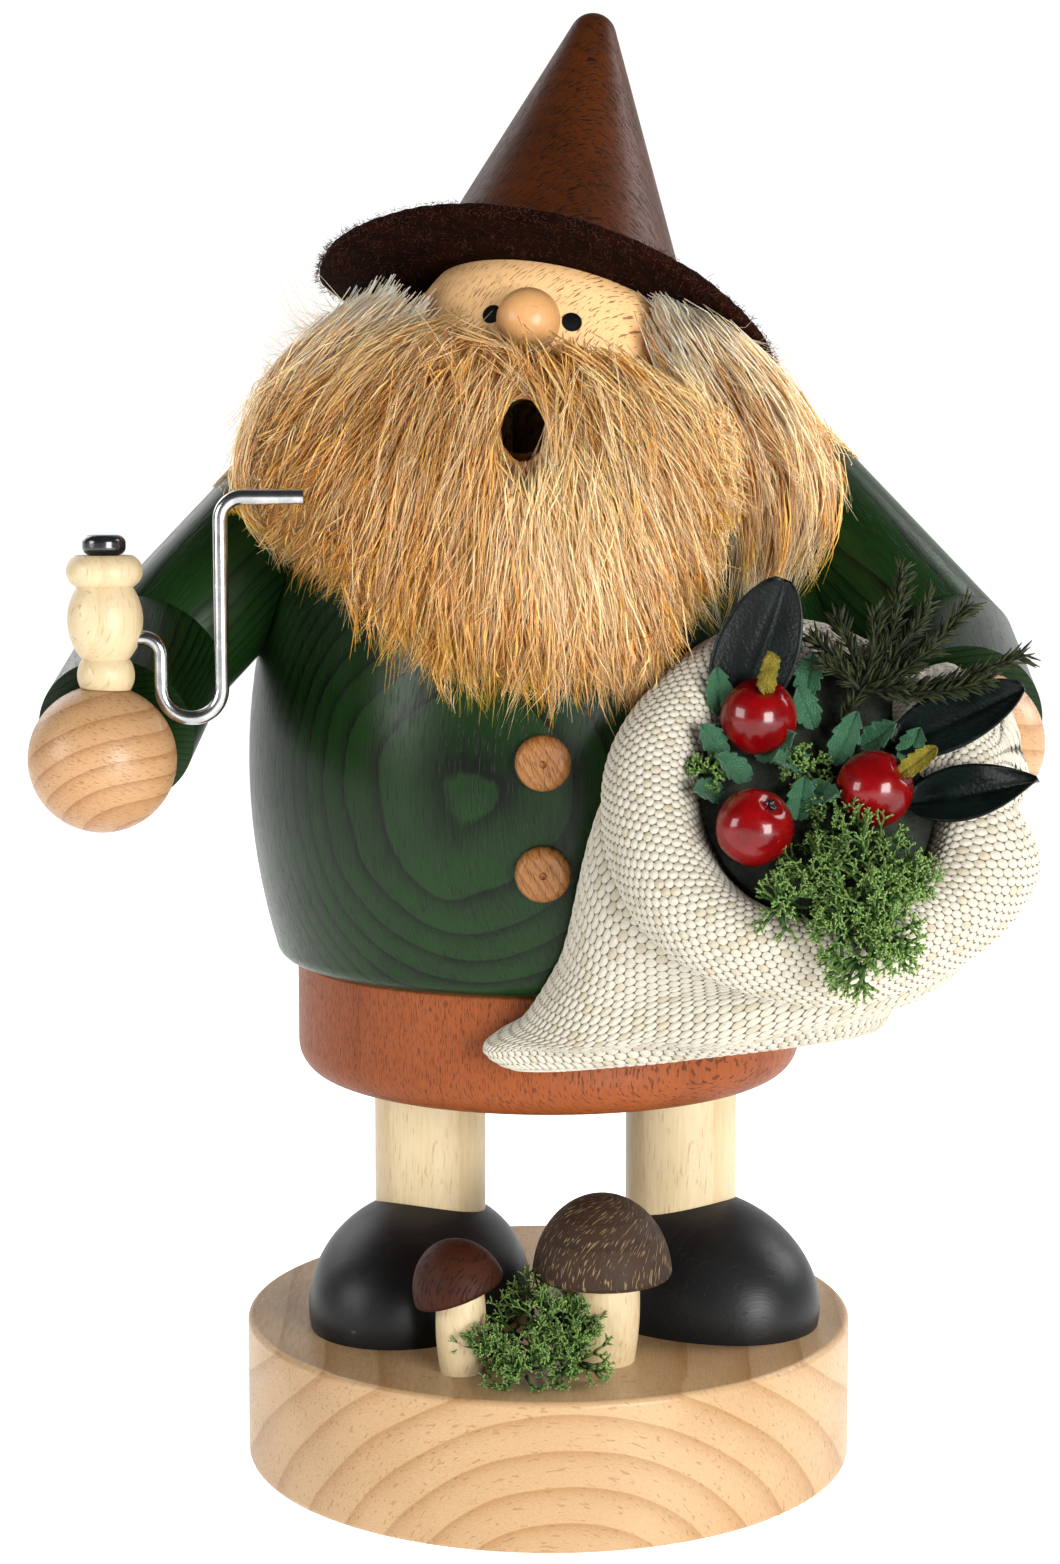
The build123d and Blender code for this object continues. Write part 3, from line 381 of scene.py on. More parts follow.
class Effect:
    """A shader node group that several materials share, built once."""

    made: dict[str, bpy.types.NodeTree] = {}
    kinds = {float: "NodeSocketFloat", tuple: "NodeSocketColor"}

    def __init__(self, name: str, inputs: dict[str, object], outputs: dict[str, str]) -> None:
        """Make the group's sockets.

        Args:
            name: the group's name.
            inputs: default of each input; None makes a vector.
            outputs: socket type of each output.
        """
        self.tree = bpy.data.node_groups.new(name, "ShaderNodeTree")
        for socket, default in inputs.items():
            kind = self.kinds.get(type(default), "NodeSocketVector")
            item = self.tree.interface.new_socket(socket, in_out="INPUT", socket_type=kind)
            if default is not None:
                item.default_value = default
        for socket, kind in outputs.items():
            self.tree.interface.new_socket(socket, in_out="OUTPUT", socket_type=kind)
        self.graph = Graph(self.tree)
        self.entry = self.graph.node("NodeGroupInput").outputs
        self.exit = self.graph.node("NodeGroupOutput").inputs
        Effect.made[name] = self.tree


WHITE = (1.0, 1.0, 1.0, 1.0)


def make_wood_effect() -> None:
    """Growth rings round a pith line along local Z, fine fibre and short dark flecks; place in mm.

    A ring darkens with a power of its phase and ends sharply. Fibre and flecks are noise that is
    stretched along the grain.
    """
    effect = Effect(
        "wood",
        {"Place": None, "Light": WHITE, "Dark": WHITE, "Fleck": WHITE, "Ring": 3.0, "Ring Strength": 0.5,
         "Fleck Strength": 0.5, "Fleck Amount": 0.3, "Fleck Along": 4.0, "Fleck Around": 0.4,
         "Fleck Deep": 0.4},
        {"Color": "NodeSocketColor", "Height": "NodeSocketFloat", "Dullness": "NodeSocketFloat"},
    )
    g, given = effect.graph, effect.entry
    x, y, z = g.split(given["Place"])
    wobble = g.math("MULTIPLY", g.math("SUBTRACT", g.noise(given["Place"], 0.035), 0.5), 1.6)
    flat = g.math("SQRT", g.math("ADD", g.math("MULTIPLY", x, x), g.math("MULTIPLY", y, y)))
    radius = g.math("ADD", flat, wobble)
    phase = g.math("FRACT", g.math("DIVIDE", radius, given["Ring"]))
    late = g.math("POWER", phase, 3.5)
    edge = g.span(phase, 0.94, 1.0, (1.0, 0.0))
    ring = g.math("MULTIPLY", g.math("MULTIPLY", late, edge), given["Ring Strength"])
    around = g.math("MULTIPLY", g.math("ARCTAN2", y, x), flat)
    fineness = ((radius, 4.0), (around, 4.0), (z, 0.22))
    fibre = g.noise(g.join(*(g.math("MULTIPLY", way, fine) for way, fine in fineness)), 1.0, 3.0)
    sizes = ((radius, "Fleck Deep"), (around, "Fleck Around"), (z, "Fleck Along"))
    spot = g.join(*(g.math("DIVIDE", way, given[size]) for way, size in sizes))
    limit = g.math("SUBTRACT", 0.8, g.math("MULTIPLY", given["Fleck Amount"], 0.4))
    over = g.math("SUBTRACT", g.noise(spot, 1.0, 1.0), limit)
    fleck = g.math("MULTIPLY", g.span(over, 0.0, 0.07), given["Fleck Strength"])
    cloud = g.span(g.noise(given["Place"], 0.06, 1.0), 0.3, 0.7, (0.0, 0.3))
    shade = g.math("ADD", g.math("MULTIPLY", g.math("SUBTRACT", fibre, 0.5), 1.1), cloud)
    tone = g.math("MINIMUM", g.math("MAXIMUM", g.math("ADD", ring, shade), 0.0), 1.0)
    dull = g.math("ADD", g.math("MULTIPLY", fleck, 0.25), g.math("MULTIPLY", fibre, 0.2))
    g.put(effect.exit["Color"], g.mix(fleck, g.mix(tone, given["Light"], given["Dark"]), given["Fleck"]))
    g.put(effect.exit["Height"], g.math("SUBTRACT", g.math("MULTIPLY", fibre, 0.5), fleck))
    g.put(effect.exit["Dullness"], dull)


def make_mottle_effect() -> None:
    """Patchy change between two colours with a fine grit, from two sizes of noise; place in metres."""
    effect = Effect(
        "mottle",
        {"Place": None, "First": WHITE, "Second": WHITE, "Patch": 200.0, "Grit": 3000.0},
        {"Color": "NodeSocketColor", "Height": "NodeSocketFloat"},
    )
    g, given = effect.graph, effect.entry
    patch, grit = (g.noise(given["Place"], given[size]) for size in ("Patch", "Grit"))
    blend = g.math("ADD", g.span(patch, 0.35, 0.65, (0.0, 0.75)), g.span(grit, 0.4, 0.7, (0.0, 0.3)))
    g.put(effect.exit["Color"], g.mix(g.math("MINIMUM", blend, 1.0), given["First"], given["Second"]))
    g.put(effect.exit["Height"], grit)


FLOAT_HALF = (0.505, 0.65)  # half length and half height of a cloth float, in floats and rows


def make_weave_effect() -> None:
    """Brick-laid cloth floats at UV thread counts: thread colour, gap colour as painted shade between the
    floats, and the floats' height.

    A float is a half ellipsoid, and the highest of the three rows near a place shows there.
    """
    effect = Effect(
        "weave",
        {"Place": None, "Thread": WHITE, "Gap": WHITE, "Stain": WHITE},
        {"Color": "NodeSocketColor", "Height": "NodeSocketFloat"},
    )
    g, given = effect.graph, effect.entry
    u, v, _ = g.split(given["Place"])
    row = g.math("FLOOR", v)
    half = g.math("MULTIPLY", g.math("MODULO", row, 2.0), 0.5)
    covers = []
    for shift in (-1.0, 0.0, 1.0):
        line = g.math("ADD", row, shift)
        step = g.math("MULTIPLY", g.math("FLOORED_MODULO", line, 2.0), 0.5)
        phase = g.math("FRACT", g.math("ADD", u, step))
        across = g.math("DIVIDE", g.math("SUBTRACT", phase, 0.5), FLOAT_HALF[0])
        along = g.math("DIVIDE", g.math("SUBTRACT", g.math("SUBTRACT", v, line), 0.5), FLOAT_HALF[1])
        reach = g.math("ADD", g.math("MULTIPLY", across, across), g.math("MULTIPLY", along, along))
        covers.append(g.math("SUBTRACT", 1.0, reach))
    highest = g.math("MAXIMUM", g.math("MAXIMUM", covers[0], covers[1]), covers[2])
    pillow = g.math("SQRT", g.math("MAXIMUM", highest, 0.0))
    fuzz = g.noise(given["Place"], 5.0, 3.0)
    float_number = g.join(g.math("FLOOR", g.math("ADD", u, half)), row, 0.0)
    white = g.node("ShaderNodeTexWhiteNoise", noise_dimensions="2D")
    g.put(white.inputs["Vector"], float_number)
    stained = g.math("MULTIPLY", g.span(white.outputs["Value"], 0.72, 1.0), 0.55)
    thread = g.mix(stained, given["Thread"], given["Stain"])
    cover = g.math("MULTIPLY", g.span(pillow, 0.14, 0.64), g.span(fuzz, 0.2, 0.6, (0.75, 1.0)))
    # The gap colour, painted shade, fills where the floats dip apart; the raised floats show the thread
    # colour.
    g.put(effect.exit["Color"], g.mix(cover, given["Gap"], thread))
    g.put(effect.exit["Height"], g.math("ADD", pillow, g.math("MULTIPLY", fuzz, 0.4)))


def make_hair_effect() -> None:
    """Colour along a hair from root to tip, from two pairs of colours picked by the hair's own tint."""
    effect = Effect(
        "hair",
        {"Place": None, "Pale Root": WHITE, "Pale Tip": WHITE, "Warm Root": WHITE, "Warm Tip": WHITE},
        {"Color": "NodeSocketColor"},
    )
    g, given = effect.graph, effect.entry
    along, tint, _ = g.split(given["Place"])
    reach = g.span(along, 0.1, 0.95)
    pale = g.mix(reach, given["Pale Root"], given["Pale Tip"])
    warm = g.mix(reach, given["Warm Root"], given["Warm Tip"])
    g.put(effect.exit["Color"], g.mix(tint, warm, pale))


class Finish:
    """A Principled shader coloured by a shared effect; each call of material makes a new material.

    A finish's fields carry the names of its effect's sockets.
    """

    roughness: float
    depth = 0.0
    coat = 0.0
    coat_roughness = 0.2
    sheen = 0.0
    metallic = 0.0
    gloss = 0.5

    def start(self, name: str) -> tuple[Material, Graph, Node]:
        """A new material with its plain values set.

        Args:
            name: the material's name.

        Returns:
            The material, a builder over its nodes, and its shader.
        """
        material = bpy.data.materials.new(name)
        material.use_nodes = True
        shader = material.node_tree.nodes["Principled BSDF"]
        for socket, value in (("Roughness", self.roughness), ("Coat Weight", self.coat),
                              ("Coat Roughness", self.coat_roughness), ("Sheen Weight", self.sheen),
                              ("Metallic", self.metallic), ("Specular IOR Level", self.gloss)):
            shader.inputs[socket].default_value = value
        return material, Graph(material.node_tree), shader

    def coloured(self, graph: Graph, shader: Node, effect: str, place: Socket) -> Node:
        """Colour a shader by an effect, and raise its surface by the effect's height if it has one.

        Args:
            graph: builder over the material's nodes.
            shader: the material's shader.
            effect: name of the shared effect.
            place: coordinates that the effect is read at.

        Returns:
            The effect's node.
        """
        made = graph.node("ShaderNodeGroup", node_tree=Effect.made[effect])
        place_socket, *others = made.inputs
        graph.put(place_socket, place)
        for socket in others:
            value = getattr(self, socket.name.lower().replace(" ", "_"))
            socket.default_value = colour(value) if isinstance(value, str) else value
        graph.put(shader.inputs["Base Color"], made.outputs["Color"])
        if "Height" in made.outputs:
            bump = graph.node("ShaderNodeBump")
            bump.inputs["Strength"].default_value = 1.0
            bump.inputs["Distance"].default_value = self.depth
            graph.put(bump.inputs["Height"], made.outputs["Height"])
            graph.put(shader.inputs["Normal"], bump.outputs[0])
        return made


@dataclass(frozen=True)
class Grain:
    """Where the pith line of a wooden piece runs, in mm."""

    centre: Triple
    along: Triple = (0.0, 0.0, 1.0)


@dataclass(frozen=True)
class Wood(Finish):
    """Lacquered or stained wood."""

    light: str
    dark: str
    fleck: str
    ring: float = 3.0
    ring_strength: float = 0.5
    fleck_strength: float = 0.5
    fleck_amount: float = 0.3
    fleck_along: float = 4.0
    fleck_around: float = 0.35
    fleck_deep: float = 0.4
    roughness: float = 0.42
    gloss: float = 0.35
    coat: float = 0.12
    coat_roughness: float = 0.25
    depth: float = 0.00004

    def material(self, name: str, grain: Grain) -> Material:
        """This wood with its grain laid along a piece, a little rougher in its fibre and flecks.

        Args:
            name: the material's name.
            grain: where the pith line runs.

        Returns:
            The new material.
        """
        material, g, shader = self.start(name)
        lay = g.node("ShaderNodeMapping", vector_type="TEXTURE")
        g.put(lay.inputs["Vector"], g.place("Object"))
        lay.inputs["Location"].default_value = [c * MM for c in grain.centre]
        lay.inputs["Rotation"].default_value = Vector(grain.along).to_track_quat("Z", "Y").to_euler()
        lay.inputs["Scale"].default_value = (MM, MM, MM)
        wood = self.coloured(g, shader, "wood", lay.outputs[0])
        g.put(shader.inputs["Roughness"], g.math("ADD", wood.outputs["Dullness"], self.roughness - 0.1))
        return material


@dataclass(frozen=True)
class Mottled(Finish):
    """Two patchy colours with a fine grit: felt, wadding, lacquer, metal, leaves."""

    first: str
    second: str
    roughness: float
    patch: float = 200.0
    grit: float = 3000.0
    depth: float = 0.00002
    coat: float = 0.0
    coat_roughness: float = 0.1
    metallic: float = 0.0
    gloss: float = 0.5

    def material(self, name: str) -> Material:
        """This finish on Object coordinates."""
        material, g, shader = self.start(name)
        self.coloured(g, shader, "mottle", g.place("Object"))
        return material


@dataclass(frozen=True)
class Woven(Finish):
    """Cloth of brick-laid floats on the piece's UV map; its gap colour is painted shade between the floats.
    """

    thread: str
    # colour between the floats: painted shade
    gap: str
    stain: str
    roughness: float = 0.85
    depth: float = 0.00015
    sheen: float = 0.15

    def material(self, name: str) -> Material:
        """This cloth; the UV map counts threads."""
        material, g, shader = self.start(name)
        self.coloured(g, shader, "weave", g.place("UV"))
        return material


@dataclass(frozen=True)
class Hairy(Finish):
    """Hair colours along each strand, with some light let through; scatter_depth is in metres."""

    pale_root: str
    pale_tip: str
    warm_root: str
    warm_tip: str
    roughness: float = 0.5
    through: float = 0.0
    gloss: float = 0.2
    scatter: Triple = (1.0, 0.75, 0.5)
    scatter_depth: float = 0.0008

    def material(self, name: str) -> Material:
        """This hair; the UV map holds the place along a hair and the hair's tint.

        Args:
            name: the material's name.

        Returns:
            The new material.
        """
        material, g, shader = self.start(name)
        self.coloured(g, shader, "hair", g.place("UV"))
        shader.inputs["Subsurface Weight"].default_value = self.through
        shader.inputs["Subsurface Radius"].default_value = self.scatter
        shader.inputs["Subsurface Scale"].default_value = self.scatter_depth
        return material


# Pieces


def add_piece(name: str, patch: Patch, material: Material, slot: str, *nodes: str,
              body: Body = Body.FIGURE) -> bpy.types.Object:
    """Make a patch an object that rides on a body.

    Args:
        name: the piece's name.
        patch: its surface, in millimetres.
        material: its material.
        slot: the record's material slot; not used.
        nodes: CAD nodes that it stands for.
        body: the body that carries it.

    Returns:
        The new object.
    """
    mesh = bpy.data.meshes.new(name)
    mesh.vertices.add(len(patch.points))
    mesh.vertices.foreach_set("co", (patch.points * MM).astype(np.float32).ravel())
    mesh.loops.add(patch.faces.size)
    mesh.loops.foreach_set("vertex_index", patch.faces.astype(np.int32).ravel())
    mesh.polygons.add(len(patch.faces))
    mesh.polygons.foreach_set("loop_start", np.arange(0, patch.faces.size, 3, dtype=np.int32))
    mesh.polygons.foreach_set("use_smooth", np.full(len(patch.faces), True))
    mesh.uv_layers.new(name="UVMap").data.foreach_set("uv", patch.uv.astype(np.float32).ravel())
    mesh.update(calc_edges=True)
    mesh.materials.append(material)
    piece = bpy.data.objects.new(name, mesh)
    bpy.context.scene.collection.objects.link(piece)
    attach(piece, body.value)
    if nodes:
        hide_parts(*nodes)
    log.info("%s: %d triangles", name, len(patch.faces))
    return piece


def dress(node: str, finish: Union[Wood, Mottled], *grain: Grain) -> None:
    """Give a CAD node a material of its own.

    Args:
        node: the node's name, which the material takes.
        finish: what it is made of.
        grain: for wood, where its pith line runs.
    """
    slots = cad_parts[node].data.materials
    slots.clear()
    slots.append(finish.material(node, *grain))
    log.info("%s: dressed", node)


# Shared places, as in the CAD

SEAM = 71.0
BODY_TOP = 138.5
HEAD_CENTRE = np.array([0.0, 0.0, 149.5])
HEAD_RADIUS = 21.0
NOSE = (np.array([-3.6, -20.6, 157.0]), 4.15)
ARM_RADIUS = 9.9
ARMS = {  # shoulder, elbow and the way of the forearm
    "right": (np.array([-32.0, 0.0, 135.9]), np.array([-52.7, -13.0, 113.0]),
              np.array([0.076, -0.945, -0.312])),
    "left": (np.array([32.0, 0.0, 135.9]), np.array([52.7, -13.0, 113.0]),
             np.array([-0.039, -0.967, -0.251])),
}
HAND_RADIUS = 9.1
HAND_REACH = 33.3  # from the elbow to the middle of the hand
HAND_LEFT = ARMS["left"][1] + ARMS["left"][2] * HAND_REACH
SACK_CENTRE = np.array([33.0, -57.0, 101.0])
SACK_TILT = radians(30.0)
SACK_AXES = np.array([
    [1.0, 0.0, 0.0],
    [0.0, sin(SACK_TILT), cos(SACK_TILT)],
    [0.0, -cos(SACK_TILT), sin(SACK_TILT)],
])


def mouth_spot(places: Array) -> Array:
    """Points given as across, up and out on the sack's mouth plane."""
    return SACK_CENTRE + np.asarray(places, float) @ SACK_AXES


def body_radius(height: Array) -> Array:
    """Outer radius of the coat: an arc up to the shoulder, and a quarter ellipse in to the neck.

    Args:
        height: heights in the frame.

    Returns:
        The radius at each.
    """
    arc, widest, belly, arc_top, shoulder, neck = 88.9, 41.5, 27.0, 21.0, 119.0, 20.0
    barrel = widest - arc + np.sqrt(arc**2 - np.clip(height - SEAM - belly, -belly, arc_top) ** 2)
    turn_in = np.clip((height - shoulder) / (BODY_TOP - shoulder), 0, 1)
    return neck + (barrel - neck) * np.sqrt(1 - turn_in**2)


def off_ball(points: Array, centre: Array, reach: Union[float, Array]) -> Array:
    """Points moved straight out from a centre until they are a reach away from it.

    Args:
        points: (..., 3) points.
        centre: one centre, or one for each point.
        reach: least distance, one for all or (..., 1).

    Returns:
        The points, moved where they were nearer.
    """
    away = points - centre
    far = np.linalg.norm(away, axis=-1, keepdims=True)
    return centre + away * np.maximum(1.0, reach / np.maximum(far, TINY))


def off_wall(points: Array, wall: Array) -> Array:
    """Points moved level out from the figure's axis until they clear a round wall.

    Args:
        points: (..., 3) points.
        wall: (...) radius of the wall at each.

    Returns:
        The points, moved where they were inside.
    """
    out = points.copy()
    flat = np.linalg.norm(out[..., :2], axis=-1)
    out[..., :2] *= np.maximum(1.0, wall / np.maximum(flat, TINY))[..., None]
    return out


def pushed_out(points: Array, gap: float) -> Array:
    """Points moved out of the coat, the head, the nose and the arms.

    Args:
        points: (..., 3) points.
        gap: how far in front of them a point stays.

    Returns:
        The points, moved where they were nearer.
    """
    height = points[..., 2]
    out = off_wall(points, np.where(height < BODY_TOP, body_radius(height) + gap, 0.0))
    for centre, radius in ((HEAD_CENTRE, HEAD_RADIUS), NOSE):
        out = off_ball(out, centre, radius + gap)
    for shoulder, elbow, _ in ARMS.values():
        way = unit(elbow - shoulder)
        along = np.clip((out - shoulder) @ way, 0, np.linalg.norm(elbow - shoulder))
        out = off_ball(out, shoulder + along[..., None] * way, ARM_RADIUS + gap)
    return out


# Finishes

BEECH = Wood("AE906B", "926E45", "744D26", ring=4.6, ring_strength=0.85, fleck_strength=0.4,
             fleck_amount=0.42, fleck_along=0.35, fleck_around=1.6, gloss=0.25)
FACE_BEECH = Wood("EEC28B", "D9A268", "8A5026", ring=6.0, ring_strength=0.1, fleck_strength=0.85,
                  fleck_amount=0.5, fleck_along=1.7, fleck_around=0.25, fleck_deep=0.8, roughness=0.45,
                  gloss=0.25)
NOSE_BEECH = Wood("C99863", "B5824D", "976434", ring_strength=0.35, fleck_along=1.2, gloss=0.3)
HAND_BEECH = Wood("A8845D", "84552F", "774823", ring=2.6, ring_strength=0.8, fleck_amount=0.45,
                  fleck_along=1.2, gloss=0.3)
MAPLE = Wood("BCAA88", "A48B63", "927449", ring=5.0, ring_strength=0.45, fleck_amount=0.42,
             fleck_along=3.0, roughness=0.45, gloss=0.25)
COAT = Wood("132C0E", "030902", "040C03", ring=0.85, ring_strength=1.0, fleck_amount=0.5,
            fleck_along=3.0, fleck_around=0.3, roughness=0.32, gloss=0.14, coat=0.1)
TROUSERS = Wood("7E411E", "5F2D14", "2A0F07", ring=7.0, ring_strength=0.35, fleck_strength=0.6,
                fleck_amount=0.56, fleck_along=1.1, fleck_around=0.16, fleck_deep=0.6, roughness=0.45,
                gloss=0.12, coat=0.05)
SHOE = Wood("131415", "08090A", "050505", ring=3.5, ring_strength=0.35, fleck_strength=0.4, gloss=0.25,
            coat=0.0)
CONE = Wood("48220B", "120603", "0C0402", ring=1.6, ring_strength=0.25, fleck_strength=0.8,
            fleck_amount=0.6, fleck_along=5.0, fleck_around=0.2, fleck_deep=0.6, roughness=0.4, gloss=0.1,
            coat=0.03)
BUTTON = Wood("916335", "6B3E1C", "45250D", ring=1.2, ring_strength=0.8, fleck_strength=0.7,
              fleck_amount=0.55, fleck_along=1.2, gloss=0.2)
PIN = Wood("DFC598", "C7A672", "AA8754")
CAP_DARK = Wood("34251A", "170D07", "99815F", ring=2.0, fleck_strength=0.6, fleck_amount=0.5,
                fleck_along=1.6, fleck_around=0.25, fleck_deep=0.8, roughness=0.62, gloss=0.15, coat=0.0,
                depth=0.0001)
CAP_RED = Wood("351504", "1E0802", "120401", ring=2.0, ring_strength=0.6, fleck_strength=0.7,
               fleck_amount=0.55, fleck_along=1.6, fleck_deep=0.8, roughness=0.58, gloss=0.15, coat=0.0,
               depth=0.00008)
FELT = Mottled("1F0904", "0F0502", 0.95, patch=350.0, grit=5200.0, depth=0.0002, gloss=0.03)
BLACK = Mottled("0B0C0D", "17191B", 0.22, patch=400.0, coat=0.5, depth=0.00001)
STEEL = Mottled("C4C5C6", "A3A5A7", 0.2, patch=500.0, grit=6000.0, depth=0.000005, metallic=1.0)
TIN = Mottled("B9B7B0", "96938B", 0.38, patch=300.0, depth=0.00001, metallic=1.0)
APPLE = Mottled("740306", "520204", 0.22, patch=160.0, grit=1500.0, coat=0.35, coat_roughness=0.05,
                gloss=0.2)
STALK = Mottled("746926", "544B19", 0.95, patch=600.0, grit=4000.0, depth=0.0003, gloss=0.1)
DARK_LEAF = Mottled("0B1412", "040706", 0.32, patch=260.0, grit=2500.0, depth=0.00008, coat=0.04,
                    gloss=0.12)
TWIG = Hairy("323919", "262D12", "121507", "0B0F04", 0.6)
MOSS = Hairy("50702F", "779151", "1A310F", "3A5923", 0.85)
# Wadding: dark green and brown, mostly painted shade for the deep gaps in the sack's mouth, partly the
# green of the moss.
SHADED_WAD = Mottled("20281A", "0E120A", 0.95, patch=300.0, grit=1500.0, depth=0.0004)
# Cloth colours: thread, gap and stain; each gap colour is painted shade between the floats.
SACKCLOTH = Woven("B4AFA0", "503C20", "9C9073")
LEAF_CLOTH = Woven("0C4C28", "042612", "145C34", roughness=0.6, depth=0.00006)
BEARD_HAIR = Hairy("FFE4A8", "FFC064", "FFA446", "84390C", through=0.8, gloss=0.12)
SIDE_HAIR = Hairy("FFF2CC", "FFCC74", "FF9C38", "90420C", through=0.8, gloss=0.12)
FUZZ = Hairy("3C2114", "492B1A", "1C0C07", "281209", 0.8)


@dataclass(frozen=True)
class Stand:
    """Base, shoes, legs, trousers and the things on the base."""

    pith_depth: float = -12.0
    legs: tuple[tuple[str, float], ...] = (("right", -16.7), ("left", 18.7))
    caps: tuple[tuple[str, Wood, Triple], ...] = (
        ("mushroom_large", CAP_DARK, (7.0, -24.5, 40.0)),
        ("mushroom_small", CAP_RED, (-11.7, -29.5, 36.0)),
    )
    moss_balls: tuple[tuple[Triple, float], ...] = (
        ((-3.0, -30.0, 23.5), 6.6), ((-8.0, -33.0, 22.5), 4.4), ((3.0, -33.0, 22.5), 5.0),
        ((-3.5, -34.5, 22.0), 4.6), ((-1.0, -26.5, 26.5), 5.4), ((2.0, -29.5, 25.0), 4.6),
    )
    moss_up: Triple = (0.0, -0.35, 1.0)
    moss_floor: float = 20.3

    def build(self) -> None:
        """Dress the stand's nodes and grow its moss."""
        dress("base_disc", BEECH, Grain((2.0, 0.0, self.pith_depth), (0.0, 1.0, 0.04)))
        for side, x in self.legs:
            dress(f"shoe_{side}", SHOE, Grain((x, 30.0, 10.0), (1.0, 0.2, 0.0)))
            dress(f"leg_{side}", MAPLE, Grain((x, 18.0, 0.0), (0.05, 0.0, 1.0)))
        dress("leg_pins", PIN, Grain((40.0, 0.0, 0.0)))
        dress("trousers", TROUSERS, Grain((8.0, 60.0, 0.0)))
        for node in ("incense_plate", "plate_tacks"):
            dress(node, TIN)
        for name, wood, (x, y, z) in self.caps:
            dress(f"{name}_cap", wood, Grain((x, y, z)))
            dress(f"{name}_stem", MAPLE, Grain((x + 6.0, y + 8.0, z)))
        tuft = Moss(self.moss_balls, np.array(self.moss_up), self.moss_floor, 11).patch()
        add_piece("base_moss_tuft", tuft, MOSS.material("base_moss"), "moss", "base_moss", body=Body.STAND)


@dataclass(frozen=True)
class Moss:
    """A cushion of forked moss that fills a few balls.

    Attributes:
        balls: centre and radius of each ball, in mm.
        up: the way the cushion grows.
        floor: lowest height of any branch, in mm.
        seed: for the random draws.
        stems: stems in each ball.
        rooted: where stems start, as a share of the ball's radius.
        stem_share: length of a stem, as a share of the ball's radius.
        bend: how far a branch bends, as a share of its length.
        taper: thickness at a branch's start, middle and end.
    """

    balls: tuple[tuple[Triple, float], ...]
    up: Array
    floor: float
    seed: int
    stems: int = 22
    forks: int = 4
    thick: float = 0.34
    rooted: float = 0.25
    stem_share: float = 0.37
    bend: float = 0.22
    taper: Triple = (1.0, 0.86, 0.72)

    def patch(self) -> Patch:
        """Grow all branches, level by level: each ends in two that lean apart, shorter and thinner."""
        rng = np.random.default_rng(self.seed)
        roots, ways, lengths = [], [], []
        for centre, radius in self.balls:
            way = unit(rng.normal(size=(self.stems, 3)) + 0.6 * self.up)
            roots.append(np.array(centre) + way * radius * self.rooted)
            ways.append(way)
            lengths.append(np.full(self.stems, radius * self.stem_share))
        root, way, length = np.concatenate(roots), np.concatenate(ways), np.concatenate(lengths)
        thick = np.full(len(root), self.thick)
        grown = []
        for level in range(self.forks + 1):
            bend = rng.normal(size=way.shape) * self.bend
            middle = root + way * length[:, None] * 0.5
            end = middle + (way + bend) * length[:, None] * 0.5
            path = np.stack([root, middle, end], axis=1)
            path[..., 2] = np.maximum(path[..., 2], self.floor)
            radii = thick[:, None] * np.array(self.taper)
            grown.append(tubes(path, radii, 3, np.full(len(root), level / self.forks)))
            if level == self.forks:
                break
            split = rng.normal(size=way.shape)
            split = unit(split - way * (split * way).sum(1, keepdims=True))
            spread = rng.uniform(0.45, 0.8, (len(way), 1))
            root = np.concatenate([path[:, -1]] * 2)
            way = unit(np.concatenate([way + split * spread, way - split * spread]))
            length = np.concatenate([length, length]) * rng.uniform(0.55, 0.8, 2 * len(length))
            thick = np.concatenate([thick, thick]) * 0.8
        return Patch.joined(grown)


@dataclass(frozen=True)
class Coat:
    """The wooden body, its buttons, arms and hands.

    Attributes:
        upper_pith: the upper arms' pith, from the shoulder.
        lower_pith: the forearms' pith, from the elbow.
        hand_pith: the hands' pith, from a place near their middle.
        hand_place: how far that place is from the elbow.
    """

    pith: Triple = (7.0, 30.0, 0.0)
    buttons: tuple[tuple[str, float], ...] = (("button_upper", 101.8), ("button_lower", 87.8))
    upper_pith: Triple = (0.0, 14.0, -8.0)
    lower_pith: Triple = (4.0, 0.0, -16.0)
    hand_pith: Triple = (3.0, 4.0, -14.0)
    hand_place: float = 33.0

    def build(self) -> None:
        """Dress the body's nodes, with the grain along each dowel."""
        dress("body_shell", COAT, Grain(self.pith))
        for node, z in self.buttons:
            dress(node, BUTTON, Grain((-6.0, 0.0, z - 5.0), (0.2, 1.0, 0.1)))
        dress("arm_pins", PIN, Grain((0.0, 30.0, 100.0), (1.0, 0.0, 0.0)))
        for side, (shoulder, elbow, reach) in ARMS.items():
            upper = shoulder + np.array(self.upper_pith)
            lower = elbow + np.array(self.lower_pith)
            hand = elbow + reach * self.hand_place + np.array(self.hand_pith)
            dress(f"upper_arm_{side}", COAT, Grain(tuple(upper), tuple(elbow - shoulder)))
            dress(f"forearm_{side}", COAT, Grain(tuple(lower), tuple(reach)))
            dress(f"hand_{side}", HAND_BEECH, Grain(tuple(hand), (0.25, 1.0, 0.1)))


@dataclass(frozen=True)
class Head:
    """Head, nose and eyes."""

    pith: Triple = (5.0, 45.0, 150.0)
    nose_pith: Triple = (-3.0, 10.0, 150.0)

    def build(self) -> None:
        """Dress the head's nodes."""
        dress("head", FACE_BEECH, Grain(self.pith))
        dress("nose", NOSE_BEECH, Grain(self.nose_pith, (0.3, 0.0, 1.0)))
        for side in ("right", "left"):
            dress(f"eye_{side}", BLACK)


